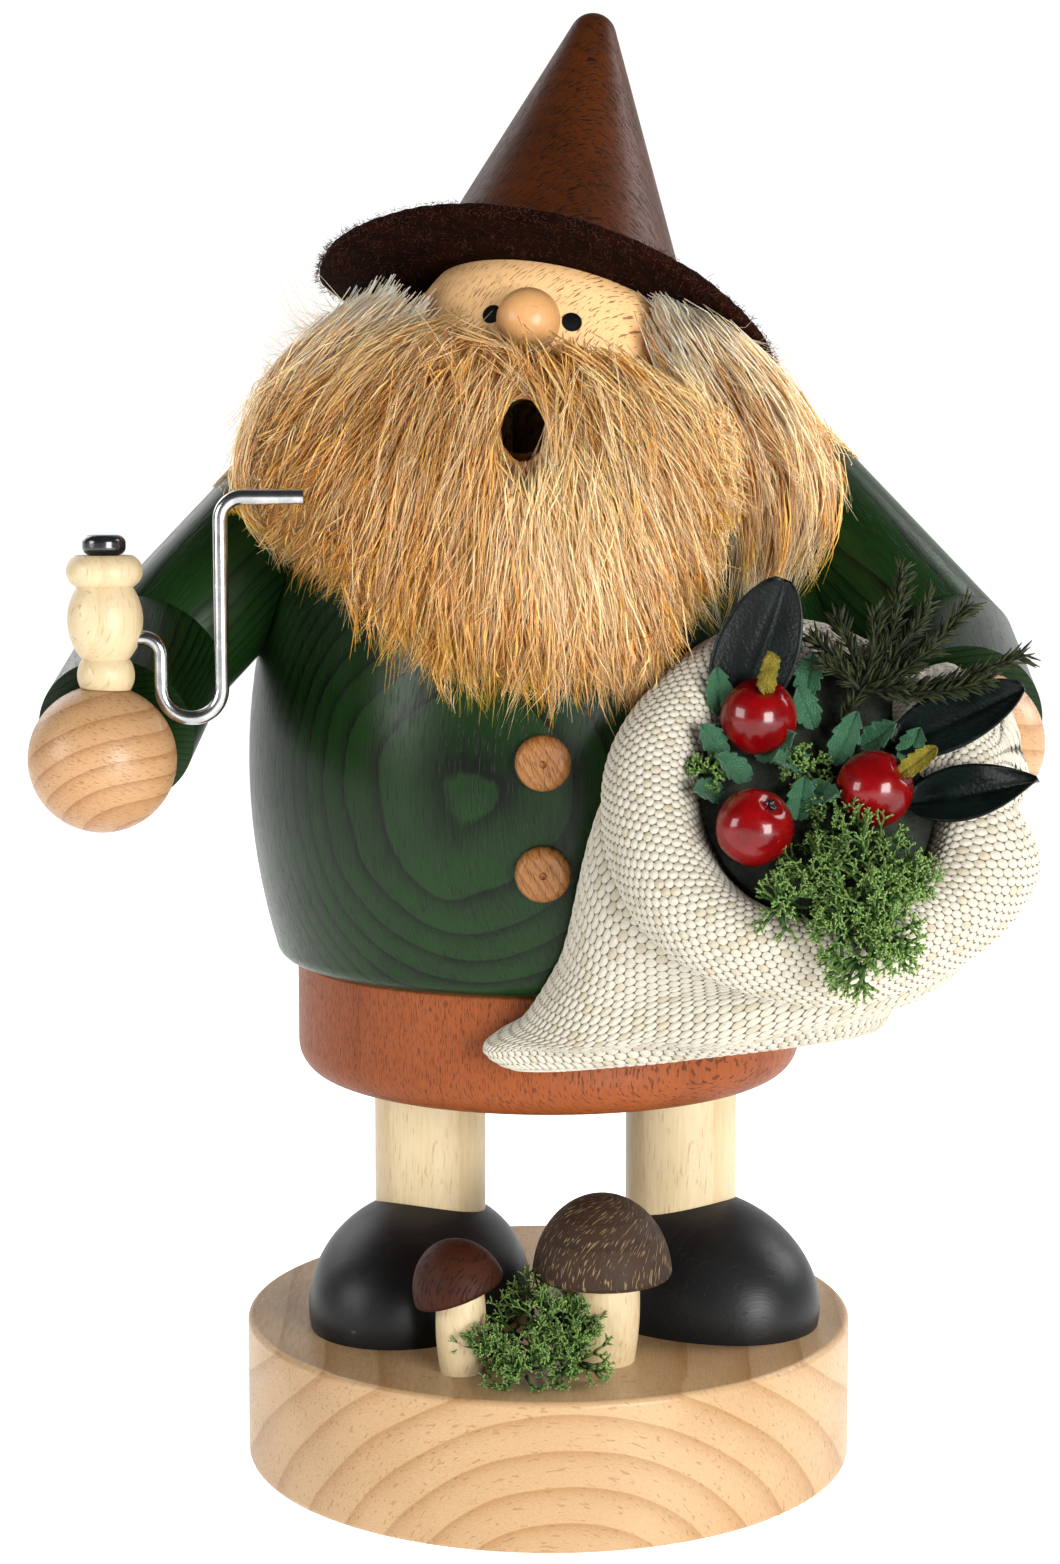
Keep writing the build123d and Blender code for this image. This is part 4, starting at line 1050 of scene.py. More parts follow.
@dataclass(frozen=True)
class Hat:
    """Turned cone on a felt brim that is bent over the head.

    Attributes:
        centre: top of the brim's middle.
        brim_lean: lean to the left, in degrees.
        tilt: lean backwards, in degrees.
        radius: of the flat felt.
        bend: radius that the felt is bent to.
        hole: hole under the cone, as a share of the radius.
        rounded: how wide the cut edge is rounded, as a share of the radius.
    """

    centre: Triple = (0.79, 3.02, 162.89)
    brim_lean: float = 13.6
    tilt: float = 13.0
    radius: float = 32.6
    thick: float = 2.0
    bend: float = 122.0
    hole: float = 0.1
    rounded: float = 0.03
    rings: int = 48
    spokes: int = 240
    fibres: int = 5200

    def axes(self) -> Array:
        """Across, ahead and up of the brim."""
        up = unit(np.array([np.tan(radians(self.brim_lean)), np.tan(radians(self.tilt)), 1.0]))
        across = unit(np.cross([0.0, 1.0, 0.0], up))
        return np.stack([across, np.cross(up, across), up])

    def skin(self, share: Array, turn: Array, down: float) -> Array:
        """Points of the felt: a slightly wavy disc, bent round a cylinder that lies front to back.

        Args:
            share: shares of the radius.
            turn: angles round the disc.
            down: depth below the felt's top.

        Returns:
            The points in the frame.
        """
        edge = self.radius * (1 + 0.006 * np.sin(5 * turn + 0.6) + 0.004 * np.sin(11 * turn))
        x, y = share * edge * np.cos(turn), share * edge * np.sin(turn)
        arc = x / self.bend
        fall = (self.bend - down) * np.cos(arc) - self.bend
        flat = np.stack([(self.bend - down) * np.sin(arc), y, fall], -1)
        flat[..., 2] += 0.25 * share**3 * np.sin(3 * turn + 1.0)
        return np.array(self.centre) + flat @ self.axes()

    def build(self) -> None:
        """Dress the cone and pin, make the brim and its fuzz."""
        dress("hat_cone", CONE, Grain((10.0, 22.0, 150.0), (0.15, 0.23, 1.0)))
        dress("hat_pin", PIN, Grain((20.0, 0.0, 150.0)))
        shares = np.linspace(self.hole, 1, self.rings)
        share, turn = np.meshgrid(shares, circle(self.spokes), indexing="ij")
        top = self.skin(share, turn, 0.0)
        low = self.skin(share, turn, self.thick)
        near_edge = np.clip((share - (1 - self.rounded)) / self.rounded, 0, 1)
        round_off = near_edge[..., None] ** 2 * 0.3
        loop = np.concatenate([top + (low - top) * round_off, (low + (top - low) * round_off)[::-1]])
        loop += grid_normals(loop, (True, True)) * lumps(loop, 1.1, 5)[..., None] * 0.06
        patch = grid(loop, even_uv(2 * self.rings + 1, self.spokes + 1), (True, True))
        brim = add_piece("hat_brim_felt", patch, FELT.material("hat_brim"), "hat_felt", "hat_brim")
        add_piece("hat_brim_fuzz", self.fuzz(), FUZZ.material("hat_fuzz"), "hat_felt")

    def fuzz(self) -> Patch:
        """Short loose fibres over the felt, thickest along the cut edge."""
        rng, count = np.random.default_rng(31), self.fibres
        edge = rng.random(count) < 0.45
        share = np.where(edge, 1.0, np.sqrt(rng.uniform(0.35, 1.0, count)))
        turn = rng.uniform(0, 2 * pi, count)
        under = rng.random(count) < 0.7
        root = np.where(under[:, None], self.skin(share, turn, self.thick), self.skin(share, turn, 0.0))
        whole, up = np.ones(count), self.axes()[2]
        rim = unit(self.skin(whole, turn, self.thick / 2) - self.skin(0.9 * whole, turn, self.thick / 2))
        cut = self.skin(whole, turn, 0.0) - up * rng.uniform(0, self.thick, count)[:, None]
        root = np.where(edge[:, None], cut, root)
        face = np.where(edge[:, None], rim, up * np.where(under, -1.0, 1.0)[:, None])
        way = unit(face + rng.normal(size=(count, 3)) * 0.8)
        size = rng.uniform(0.25, 0.75, (count, 1))
        curl = rng.normal(size=(count, 3)) * 0.35
        paths = np.stack([root - way * 0.1, root + way * size * 0.5, root + (way + curl) * size], axis=1)
        radii = np.broadcast_to([0.035, 0.03, 0.015], (count, 3))
        return tubes(paths, radii, 3, rng.random(count))


@dataclass(frozen=True)
class Groom:
    """How hairs gather round guides.

    Attributes:
        count: hairs in the piece.
        guides: guides that they gather round.
        length: shortest and longest guide, in mm or as a share of a lock.
        radius: half thickness of a hair, in mm.
        spread: how far roots stand from their guide, in mm.
        clump: how far hairs close up at the guide's tip, 0 to 1.
        seed: for the random draws.
        steps: points along a hair.
        places: points along a guide.
    """

    count: int
    guides: int
    length: tuple[float, float]
    radius: float
    spread: float
    clump: float
    seed: int
    steps: int = 5
    places: int = 9

    def draws(self) -> np.random.Generator:
        """Random draws for this groom."""
        return np.random.default_rng(self.seed)

    @staticmethod
    def frizz(rng: np.random.Generator, count: int, steps: int, size: float) -> Array:
        """Loose sine waves and a sideways drift that grow towards the tips; a few lines are wild.

        Args:
            rng: random draws.
            count: how many lines.
            steps: points on each.
            size: how far they stray, in mm.

        Returns:
            (count, steps, 3) offsets.
        """
        t = np.linspace(0, 1, steps)[None, :, None]
        turns = rng.uniform(0.3, 0.9, (count, 1, 3))
        phase = rng.uniform(0, 2 * pi, (count, 1, 3))
        wild = np.where(rng.random((count, 1, 1)) < 0.08, 2.4, 1.0)
        drift = 0.9 * rng.normal(size=(count, 1, 3)) * t
        return size * wild * t * (np.sin(2 * pi * turns * t + phase) + drift)

    def gathered(self, guides: Array, rng: np.random.Generator) -> tuple[Array, Array]:
        """Hairs round guides, closing up towards the guides' tips.

        Args:
            guides: (g, places, 3) lines.
            rng: random draws.

        Returns:
            The hairs' lines, (count, steps, 3), and the guide of each.
        """
        pick = rng.integers(0, len(guides), self.count)
        t = np.linspace(0, 1, self.steps)
        last = guides.shape[1] - 1
        at = np.minimum(rng.uniform(0.6, 1.0, (self.count, 1)) * t * last, last - TINY)
        aside = rng.normal(size=(self.count, 1, 3)) * self.spread
        line = read_lines(guides, pick, at) + aside * (1 - self.clump * t**1.3)[:, None]
        return line + self.frizz(rng, self.count, self.steps, 0.28), pick

    def grown(self, paths: Array, rng: np.random.Generator, tint: Array) -> Patch:
        """Tapered hairs along paths.

        Args:
            paths: (k, steps, 3) lines.
            rng: random draws.
            tint: (k,) shade of each hair, 0 warm to 1 pale.

        Returns:
            The hairs.
        """
        taper = np.interp(np.linspace(0, 1, self.steps), [0, 0.4, 1], [0.8, 1.0, 0.2])
        radii = self.radius * taper * rng.uniform(0.65, 1.3, (len(paths), 1))
        return tubes(paths, radii, 3, np.clip(tint + rng.normal(0, 0.1, len(paths)), 0, 1))


@dataclass(frozen=True)
class Beard:
    """Fur bib round the mouth hole, combed away from the nose.

    Attributes:
        rows: height, half width, depth and middle of the fur's front, from the lowest up.
        top: across and height along the upper outline.
        bottom: the same along the lower outline.
        grooms: the hairs, by the names of their pieces.
        focus: place near the nose that hairs are combed away from, across and height.
        mouth: middle of the mouth hole.
        hole: its half width and half height.
        run: length of a combed line.
        lines: points along it.
    """

    rows: Array
    top: Array
    bottom: Array
    grooms: tuple[tuple[str, Groom], ...]
    focus: tuple[float, float] = (-3.0, 161.0)
    mouth: tuple[float, float] = (-3.5, 142.9)
    hole: tuple[float, float] = (2.9, 4.0)
    run: float = 24.0
    lines: int = 13

    def front(self, flat: Array, lift: Union[float, Array]) -> Array:
        """Points of the fur's front: at each height half an ellipse.

        Args:
            flat: (..., 2) across and height.
            lift: how far behind the front the points lie.

        Returns:
            (..., 3) points.
        """
        x, z = flat[..., 0], flat[..., 1]
        level = np.clip(z, self.rows[0, 0], self.rows[-1, 0]).ravel()
        wide, deep, middle = np.moveaxis(cubic(self.rows[:, 0], self.rows[:, 1:], level), -1, 0)
        bow = np.sqrt(np.clip(1 - (x.ravel() / wide) ** 2, 0.0, 1))
        return np.stack([x, (middle - deep * bow).reshape(z.shape) + lift, z], -1)

    def in_mouth(self, x: Array, z: Array, grow: float = 0.0) -> Array:
        """Whether places seen from the front lie in the mouth hole, grown by a margin."""
        across, up = self.hole[0] + grow, self.hole[1] + grow
        return ((x - self.mouth[0]) / across) ** 2 + ((z - self.mouth[1]) / up) ** 2 < 1.0

    def skin(self) -> Patch:
        """Closed pelt under the hairs: rays from the mouth hole out to just inside the outline."""
        spokes, rings, stops, longest = 160, 30, 400, 60
        below_top, above_bottom, beside, sunk, thick = 0.4, 4.0, 1.5, 2.0, 1.6
        turn = circle(spokes)
        way = np.stack([np.cos(turn), np.sin(turn)], -1)
        inner = np.array(self.mouth) + way * np.array(self.hole)
        rays = inner[:, None] + np.linspace(0, longest, stops)[None, :, None] * way[:, None]
        x, z = rays[..., 0], rays[..., 1]
        high, low = np.interp(x, *self.top.T), np.interp(x, *self.bottom.T)
        inside = (z < high - below_top) & (z > low + above_bottom)
        inside &= (x > self.top[0, 0] + beside) & (x < self.top[-1, 0] - beside)
        last = np.maximum(np.argmin(inside, axis=1) - 1, 1)
        edge = rays[np.arange(spokes), last]
        outer = self.front(inner + (edge - inner) * np.linspace(0, 1, rings)[:, None, None], sunk)
        back = outer + np.array([0.0, thick, 0.0])
        loop = pushed_out(np.concatenate([outer[::-1], back]), 0.15)
        return grid(loop, np.tile([0.6, 0.3], (2 * rings + 1, spokes + 1, 1)), (True, True))

    def flow(self, spots: Array, focus: Array) -> Array:
        """Combed lines seen from the front: away from the nose, and more and more downwards.

        Args:
            spots: (k, 2) starts, across and height.
            focus: (k, 2) places that the lines run away from.

        Returns:
            (lines, k, 2) places.
        """
        line = [spots]
        for t in np.linspace(0, 1, self.lines)[:-1]:
            away = unit(line[-1] - focus)
            away[:, 1] -= 0.1 + 1.1 * t
            line.append(line[-1] + unit(away) * self.run / (self.lines - 1))
        return np.stack(line)

    def room(self, flow: Array) -> Array:
        """How far each combed line runs before it leaves the beard's outline or meets the mouth.

        Args:
            flow: (lines, k, 2) places.

        Returns:
            (k,) lengths.
        """
        x, z = flow[..., 0], flow[..., 1]
        inside = (z > np.interp(x, *self.bottom.T)) & (x > self.bottom[0, 0]) & (x < self.bottom[-1, 0])
        inside &= ~self.in_mouth(x, z)
        steps = np.where(inside.all(axis=0), len(flow) - 1, np.argmin(inside, axis=0))
        return steps * self.run / (len(flow) - 1)

    def roots(self, rng: np.random.Generator, count: int) -> tuple[Array, Array]:
        """Where guides start: over the whole bib, and a few along the mouth hole's lower rim.

        Args:
            rng: random draws.
            count: how many guides.

        Returns:
            (k, 2) places across and height, and the height of the outline above each.
        """
        low_margin, rim_margin, clear = 3.0, 0.9, 0.8
        x = rng.uniform(self.top[0, 0], self.top[-1, 0], count * 3)
        low, high = np.interp(x, *self.bottom.T), np.interp(x, *self.top.T)
        z = low + low_margin + (high - low - low_margin) * rng.beta(1.2, 0.9, len(x))
        rim, angle = rng.random(len(x)) < 0.06, rng.uniform(pi, 2 * pi, len(x))
        x = np.where(rim, self.mouth[0] + (self.hole[0] + rim_margin) * np.cos(angle), x)
        z = np.where(rim, self.mouth[1] + (self.hole[1] + rim_margin) * np.sin(angle), z)
        keep = np.flatnonzero(~self.in_mouth(x, z, clear))[:count]
        return np.stack([x, z], -1)[keep], high[keep]

    def hairs(self, groom: Groom) -> Patch:
        """Hairs rooted over the pelt, combed down and outwards in loose locks.

        Args:
            groom: how many there are and how they gather.

        Returns:
            The hairs, palest down the middle and under the upper outline.
        """
        rng = groom.draws()
        spots, high = self.roots(rng, groom.guides)
        x, z = spots.T
        count = len(x)
        focus = np.array(self.focus) + rng.normal(size=(count, 2)) * np.array([8.0, 2.5])
        flow = self.flow(spots, focus)
        past = rng.random(count) < 0.22
        room = self.room(flow)
        room += np.where(past, rng.uniform(0, 3.0, count), -np.abs(rng.normal(0, 2.0, count)))
        reach = np.clip(np.minimum(rng.uniform(*groom.length, count), room), 2.0, self.run * 0.98)
        t = np.linspace(0, 1, groom.places)[None, :]
        at = reach[:, None] / self.run * (self.lines - 1) * t
        flat = read_lines(np.swapaxes(flow, 0, 1), np.arange(count), at)
        layer, puff = rng.uniform(0.0, 2.0, (count, 1)), rng.normal(0.2, 1.1, (count, 1))
        crown = np.clip((z - high + 8.0) / 8.0, 0, 1)[:, None]
        lift = np.interp(t, [0.0, 0.35, 1.0], [1.4, -1.0, -0.3]) + layer * (1 - 0.5 * t) - puff * t * t
        lift -= 1.8 * crown * np.sin(pi * t**0.7)
        path = self.front(flat, lift) + groom.frizz(rng, count, groom.places, 0.8)
        pale = np.exp(-(((x - 4.0) / 9.0) ** 2)) * np.interp(z, [114, 122, 140, 150], [0.2, 0.9, 1.0, 0.4])
        upper = np.interp(np.abs(x + 3.0), [6.0, 14.0, 30.0], [0.15, 0.8, 0.5]) * crown[:, 0]
        tint = 0.1 + 0.9 * np.maximum(pale, upper) + rng.normal(0, 0.26, count)
        tint -= np.interp(z, [118.0, 134.0], [0.5, 0.0])
        hairs, pick = groom.gathered(path, rng)
        clear = ~self.in_mouth(hairs[..., 0], hairs[..., 2], -0.2).any(axis=1)
        return groom.grown(pushed_out(hairs[clear], 0.2), rng, tint[pick[clear]])

    def build(self) -> None:
        """Make the pelt and its hairs."""
        material = BEARD_HAIR.material("beard")
        add_piece("beard_pelt", self.skin(), material, "beard_fur", "beard")
        for name, groom in self.grooms:
            add_piece(name, self.hairs(groom), material, "beard_fur")


@dataclass(frozen=True)
class Lock:
    """A thick lock that hangs beside the beard.

    Attributes:
        name: the piece's name.
        guide: points down its middle, in mm.
        girth: half width at each point.
        groom: its hairs; their length is a share of the guide.
    """

    name: str
    guide: tuple[Triple, ...]
    girth: tuple[float, ...]
    groom: Groom

    def hairs(self) -> Patch:
        """Hairs that follow the lock, closing up towards its tip."""
        rng, groom = self.groom.draws(), self.groom
        count = groom.guides
        knots = np.linspace(0, 1, len(self.guide))
        reach, spin = np.sqrt(rng.random(count)), rng.uniform(0, 2 * pi, count)
        aside = np.stack([reach * np.cos(spin), 0.75 * reach * np.sin(spin), np.zeros(count)], -1)
        length = rng.uniform(*groom.length, count)
        start = rng.beta(1.0, 1.2, count) * (1.06 - length)
        t = start[:, None] + length[:, None] * np.linspace(0, 1, groom.places)
        middle = cubic(knots, np.array(self.guide), np.clip(t, 0, 1).ravel()).reshape(*t.shape, 3)
        middle[..., 2] -= np.maximum(t - 1, 0) * 30.0
        girth = np.interp(t, knots, self.girth)[..., None]
        path = middle + aside[:, None] * girth + groom.frizz(rng, count, groom.places, 1.1)
        tint = np.interp(start, [0.0, 0.6], [0.85, 0.0]) + rng.normal(0, 0.25, count)
        hairs, pick = groom.gathered(path, rng)
        return groom.grown(HAIR.clear(hairs), rng, tint[pick])


@dataclass(frozen=True)
class Hair:
    """Fur collar round the sides and back of the head, white above and warm below.

    Attributes:
        rows: height, half width and half depth of the collar, from the lowest up.
        lower_edge: degrees round from the front, and height of the collar's lower edge there.
        locks: the thick locks at its ends.
        grooms: the other hairs, by the names of their pieces.
        stray: the loose hairs.
        temples: where the collar ends, in degrees round from the front.
        middle: across and depth of its middle.
    """

    rows: Array
    lower_edge: Array
    locks: tuple[Lock, ...]
    grooms: tuple[tuple[str, Groom], ...]
    stray: Groom
    temples: tuple[float, float] = (-47.0, 42.0)
    top: float = 162.0
    middle: tuple[float, float] = (-2.0, 2.0)
    brim: Hat = Hat()

    def spot(self, turn: Array, height: Array, share: Union[float, Array]) -> Array:
        """Points on the fur: at each height an ellipse round the head.

        Args:
            turn: degrees round from the front.
            height: heights in the frame.
            share: shares of the fur's reach.

        Returns:
            The points.
        """
        at = np.clip(height, self.rows[0, 0], self.rows[-1, 0])
        wide, deep = np.moveaxis(cubic(self.rows[:, 0], self.rows[:, 1:], at.ravel()), -1, 0)
        wide, deep = wide.reshape(at.shape), deep.reshape(at.shape)
        angle = np.radians(turn)
        x = share * wide * np.sin(angle) + self.middle[0]
        y = self.middle[1] - share * deep * np.cos(angle)
        return np.stack([x, y, height], -1)

    def under_brim(self, points: Array, gap: float) -> Array:
        """Points lowered until they are clear of the brim's underside.

        Args:
            points: (..., 3) points.
            gap: how far below it a point stays.

        Returns:
            The points, moved where they were higher.
        """
        axes, bend = self.brim.axes(), self.brim.bend
        local = (points - np.array(self.brim.centre)) @ axes.T
        reach = bend - self.brim.thick - gap
        ceiling = np.sqrt(np.maximum(reach ** 2 - local[..., 0] ** 2, 1.0)) - bend
        covered = np.hypot(local[..., 0], local[..., 1]) < self.brim.radius + gap
        local[..., 2] = np.where(covered, np.minimum(local[..., 2], ceiling), local[..., 2])
        return np.array(self.brim.centre) + local @ axes

    def clear(self, hairs: Array) -> Array:
        """Hairs moved off the figure and under the brim."""
        return self.under_brim(pushed_out(hairs, 0.25), 0.3)

    def lowest(self, turn: Array) -> Array:
        """Height of the fur's lower edge, by degrees round from the front, -180 to 360."""
        return np.interp(np.where(turn > 180, turn - 360, turn), *self.lower_edge)

    def skin(self) -> Patch:
        """Closed pelt under the hairs, kept short of the fur's edges."""
        rows, columns = 40, 150
        from_left, from_right, below_top, above_low = 12, 16, 0.5, 4.0
        turn = np.linspace(self.temples[1] + from_left, 360 + self.temples[0] - from_right, columns)
        low = self.lowest(turn) + above_low
        height = low + (self.top - below_top - low) * np.linspace(0, 1, rows)[:, None]
        turn = np.broadcast_to(turn, height.shape)
        outer = self.under_brim(self.spot(turn, height, 0.95), 0.4)
        inner = self.under_brim(self.spot(turn, height, 0.89), 0.5)
        sheet = blade(pushed_out(outer, 0.3), pushed_out(inner, 0.15))
        up = sheet.uv[..., 1]
        return replace(sheet, uv=np.stack([1.0 - up, np.full(up.shape, 0.6)], -1))

    def hairs(self, groom: Groom) -> Patch:
        """Hairs combed down over the shoulders and back, thicker near the temples.

        Args:
            groom: how many there are and how they gather.

        Returns:
            The hairs, palest at the top.
        """
        rng, count = groom.draws(), groom.guides
        low_margin = 7.0
        span = 360 + self.temples[0] - self.temples[1]
        near = rng.beta(0.9, 2.6, count) * span * 0.5
        side = np.where(rng.random(count) < 0.5, near, span - near)
        turn = self.temples[1] + np.where(rng.random(count) < 0.45, side, rng.uniform(0, span, count))
        low = self.lowest(turn)
        z = low + low_margin + (self.top - low - low_margin) * rng.beta(1.0, 0.9, count)
        length = np.minimum(rng.uniform(*groom.length, count), z - low + rng.uniform(0.0, 3.0, count))
        t = np.linspace(0, 1, groom.places)[None, :]
        lift = rng.uniform(0.94, 1.0, (count, 1)) + np.interp(t, [0, 0.4, 1.0], [-0.01, 0.045, 0.03])
        drift = turn[:, None] + rng.normal(0, 6.0, (count, 1)) * t
        path = self.spot(drift, z[:, None] - length[:, None] * t, lift)
        path = path + groom.frizz(rng, count, groom.places, 0.7)
        tint = np.interp(z, [132.0, 158.0], [0.05, 1.0]) + rng.normal(0, 0.2, count)
        hairs, pick = groom.gathered(path, rng)
        return groom.grown(self.clear(hairs), rng, tint[pick])

    def strays(self) -> Patch:
        """Long loose hairs that curl out from the temples and round the brim's edge."""
        groom, up = self.stray, np.array([0.0, 0.0, 1.0])
        rng, count = groom.draws(), groom.count
        right = rng.random(count) < 0.7
        turn = np.where(right, rng.uniform(-86, -56, count), rng.uniform(52, 78, count))
        root = self.spot(turn, rng.uniform(151, 159, count), 0.97)
        out = unit(root * np.array([1.0, 1.0, 0.0]))
        reach = rng.uniform(*groom.length, count)[:, None, None]
        rise = np.where(right, rng.normal(0.1, 0.4, count), rng.normal(-0.5, 0.3, count))[:, None, None]
        t = np.linspace(0, 1, groom.steps)[None, :, None]
        path = root[:, None] + out[:, None] * reach * t + up * rise * reach * t**2
        path = self.under_brim(path + groom.frizz(rng, count, groom.steps, 1.0), 0.3)
        return groom.grown(path, rng, rng.uniform(0.5, 1.0, count))

    def build(self) -> None:
        """Make the pelt, its hairs, the side locks and the loose hairs."""
        material = SIDE_HAIR.material("hair")
        add_piece("hair_pelt", self.skin(), material, "hair_fur", "hair")
        for name, groom in self.grooms:
            add_piece(name, self.hairs(groom), material, "hair_fur")
        for lock in self.locks:
            add_piece(lock.name, lock.hairs(), material, "hair_fur")
        add_piece("hair_strays", self.strays(), material, "hair_fur")


BEARD = Beard(
    rows=np.array([
        [106, 24, 14, -33.0], [118, 31, 18, -30.0], [128, 37, 25, -21.5], [138, 42.5, 30, -12.5],
        [148, 39, 26, -8.0], [158, 30, 19, -6.5],
    ], float),
    top=np.array([
        [-36, 148], [-29, 153.5], [-19.3, 155.8], [-17.2, 157.3], [-13.8, 157.6], [-10.1, 156.2],
        [-7.2, 154.7], [-2.9, 153], [2.1, 153.5], [6.4, 152.8], [11, 151.2], [14.8, 149.6], [18, 147],
        [21, 143],
    ], float),
    bottom=np.array([
        [-37, 136], [-35.8, 131], [-31, 126], [-25.5, 123.4], [-23, 120.4], [-20, 115.7], [-15, 112],
        [-10, 110.7], [-2.6, 110], [6, 110.5], [12, 111.4], [14.5, 114], [17.7, 121], [20, 127],
        [21.5, 133],
    ], float),
    grooms=(
        ("beard_underfur", Groom(6000, 620, (9.0, 14.0), 0.11, 1.1, 0.5, 41, steps=4)),
        ("beard_mid_hair", Groom(6400, 520, (11.0, 18.0), 0.075, 1.0, 0.75, 42)),
        ("beard_guard_hair", Groom(6800, 440, (14.0, 23.0), 0.06, 1.2, 0.7, 43)),
        ("beard_top_hair", Groom(6800, 360, (15.0, 24.0), 0.055, 1.4, 0.6, 44)),
    ),
)
HAIR = Hair(
    rows=np.array([
        [119, 36, 42], [126, 37, 40], [134, 36.5, 36], [142, 34.5, 32.5], [150, 31, 29],
        [160, 25.5, 25], [167, 21.5, 21.5],
    ], float),
    lower_edge=np.array([
        [-180, -90, -60, -47, 42, 60, 90, 180],
        [121, 126, 130, 134, 131, 126, 123, 121],
    ], float),
    locks=(
        Lock("hair_lock_right", ((-20.0, -16.0, 160.0), (-28.0, -19.0, 152.0), (-33.5, -22.0, 142.0),
                                 (-35.0, -26.0, 134.0), (-32.0, -30.0, 128.0)), (4.5, 6.5, 6.5, 5.5, 3.0),
             Groom(4000, 260, (0.35, 0.6), 0.085, 0.9, 0.75, 53)),
        Lock("hair_lock_left", ((16.5, -16.0, 158.5), (22.5, -21.0, 150.0), (28.0, -26.0, 140.5),
                                (29.5, -30.0, 131.0), (27.0, -34.0, 121.0)), (3.8, 6.5, 7.5, 7.0, 4.0),
             Groom(4600, 300, (0.35, 0.6), 0.085, 0.9, 0.75, 54)),
    ),
    grooms=(
        ("hair_underfur", Groom(4800, 560, (10.0, 17.0), 0.12, 1.0, 0.5, 51, steps=4)),
        ("hair_guard_hair", Groom(5000, 420, (12.0, 21.0), 0.08, 1.0, 0.75, 52)),
    ),
    stray=Groom(260, 260, (5.0, 11.0), 0.045, 0.0, 0.0, 47, 6),
)


@dataclass(frozen=True)
class Pipe:
    """Turned pipe with its wire stem."""

    bowl_pith: Triple = (-45.0, -40.0, 100.0)

    def build(self) -> None:
        """Dress the pipe's nodes."""
        dress("pipe_bowl", MAPLE, Grain(self.bowl_pith, (0.1, 0.0, 1.0)))
        dress("pipe_cap", BLACK)
        dress("pipe_stem", STEEL)


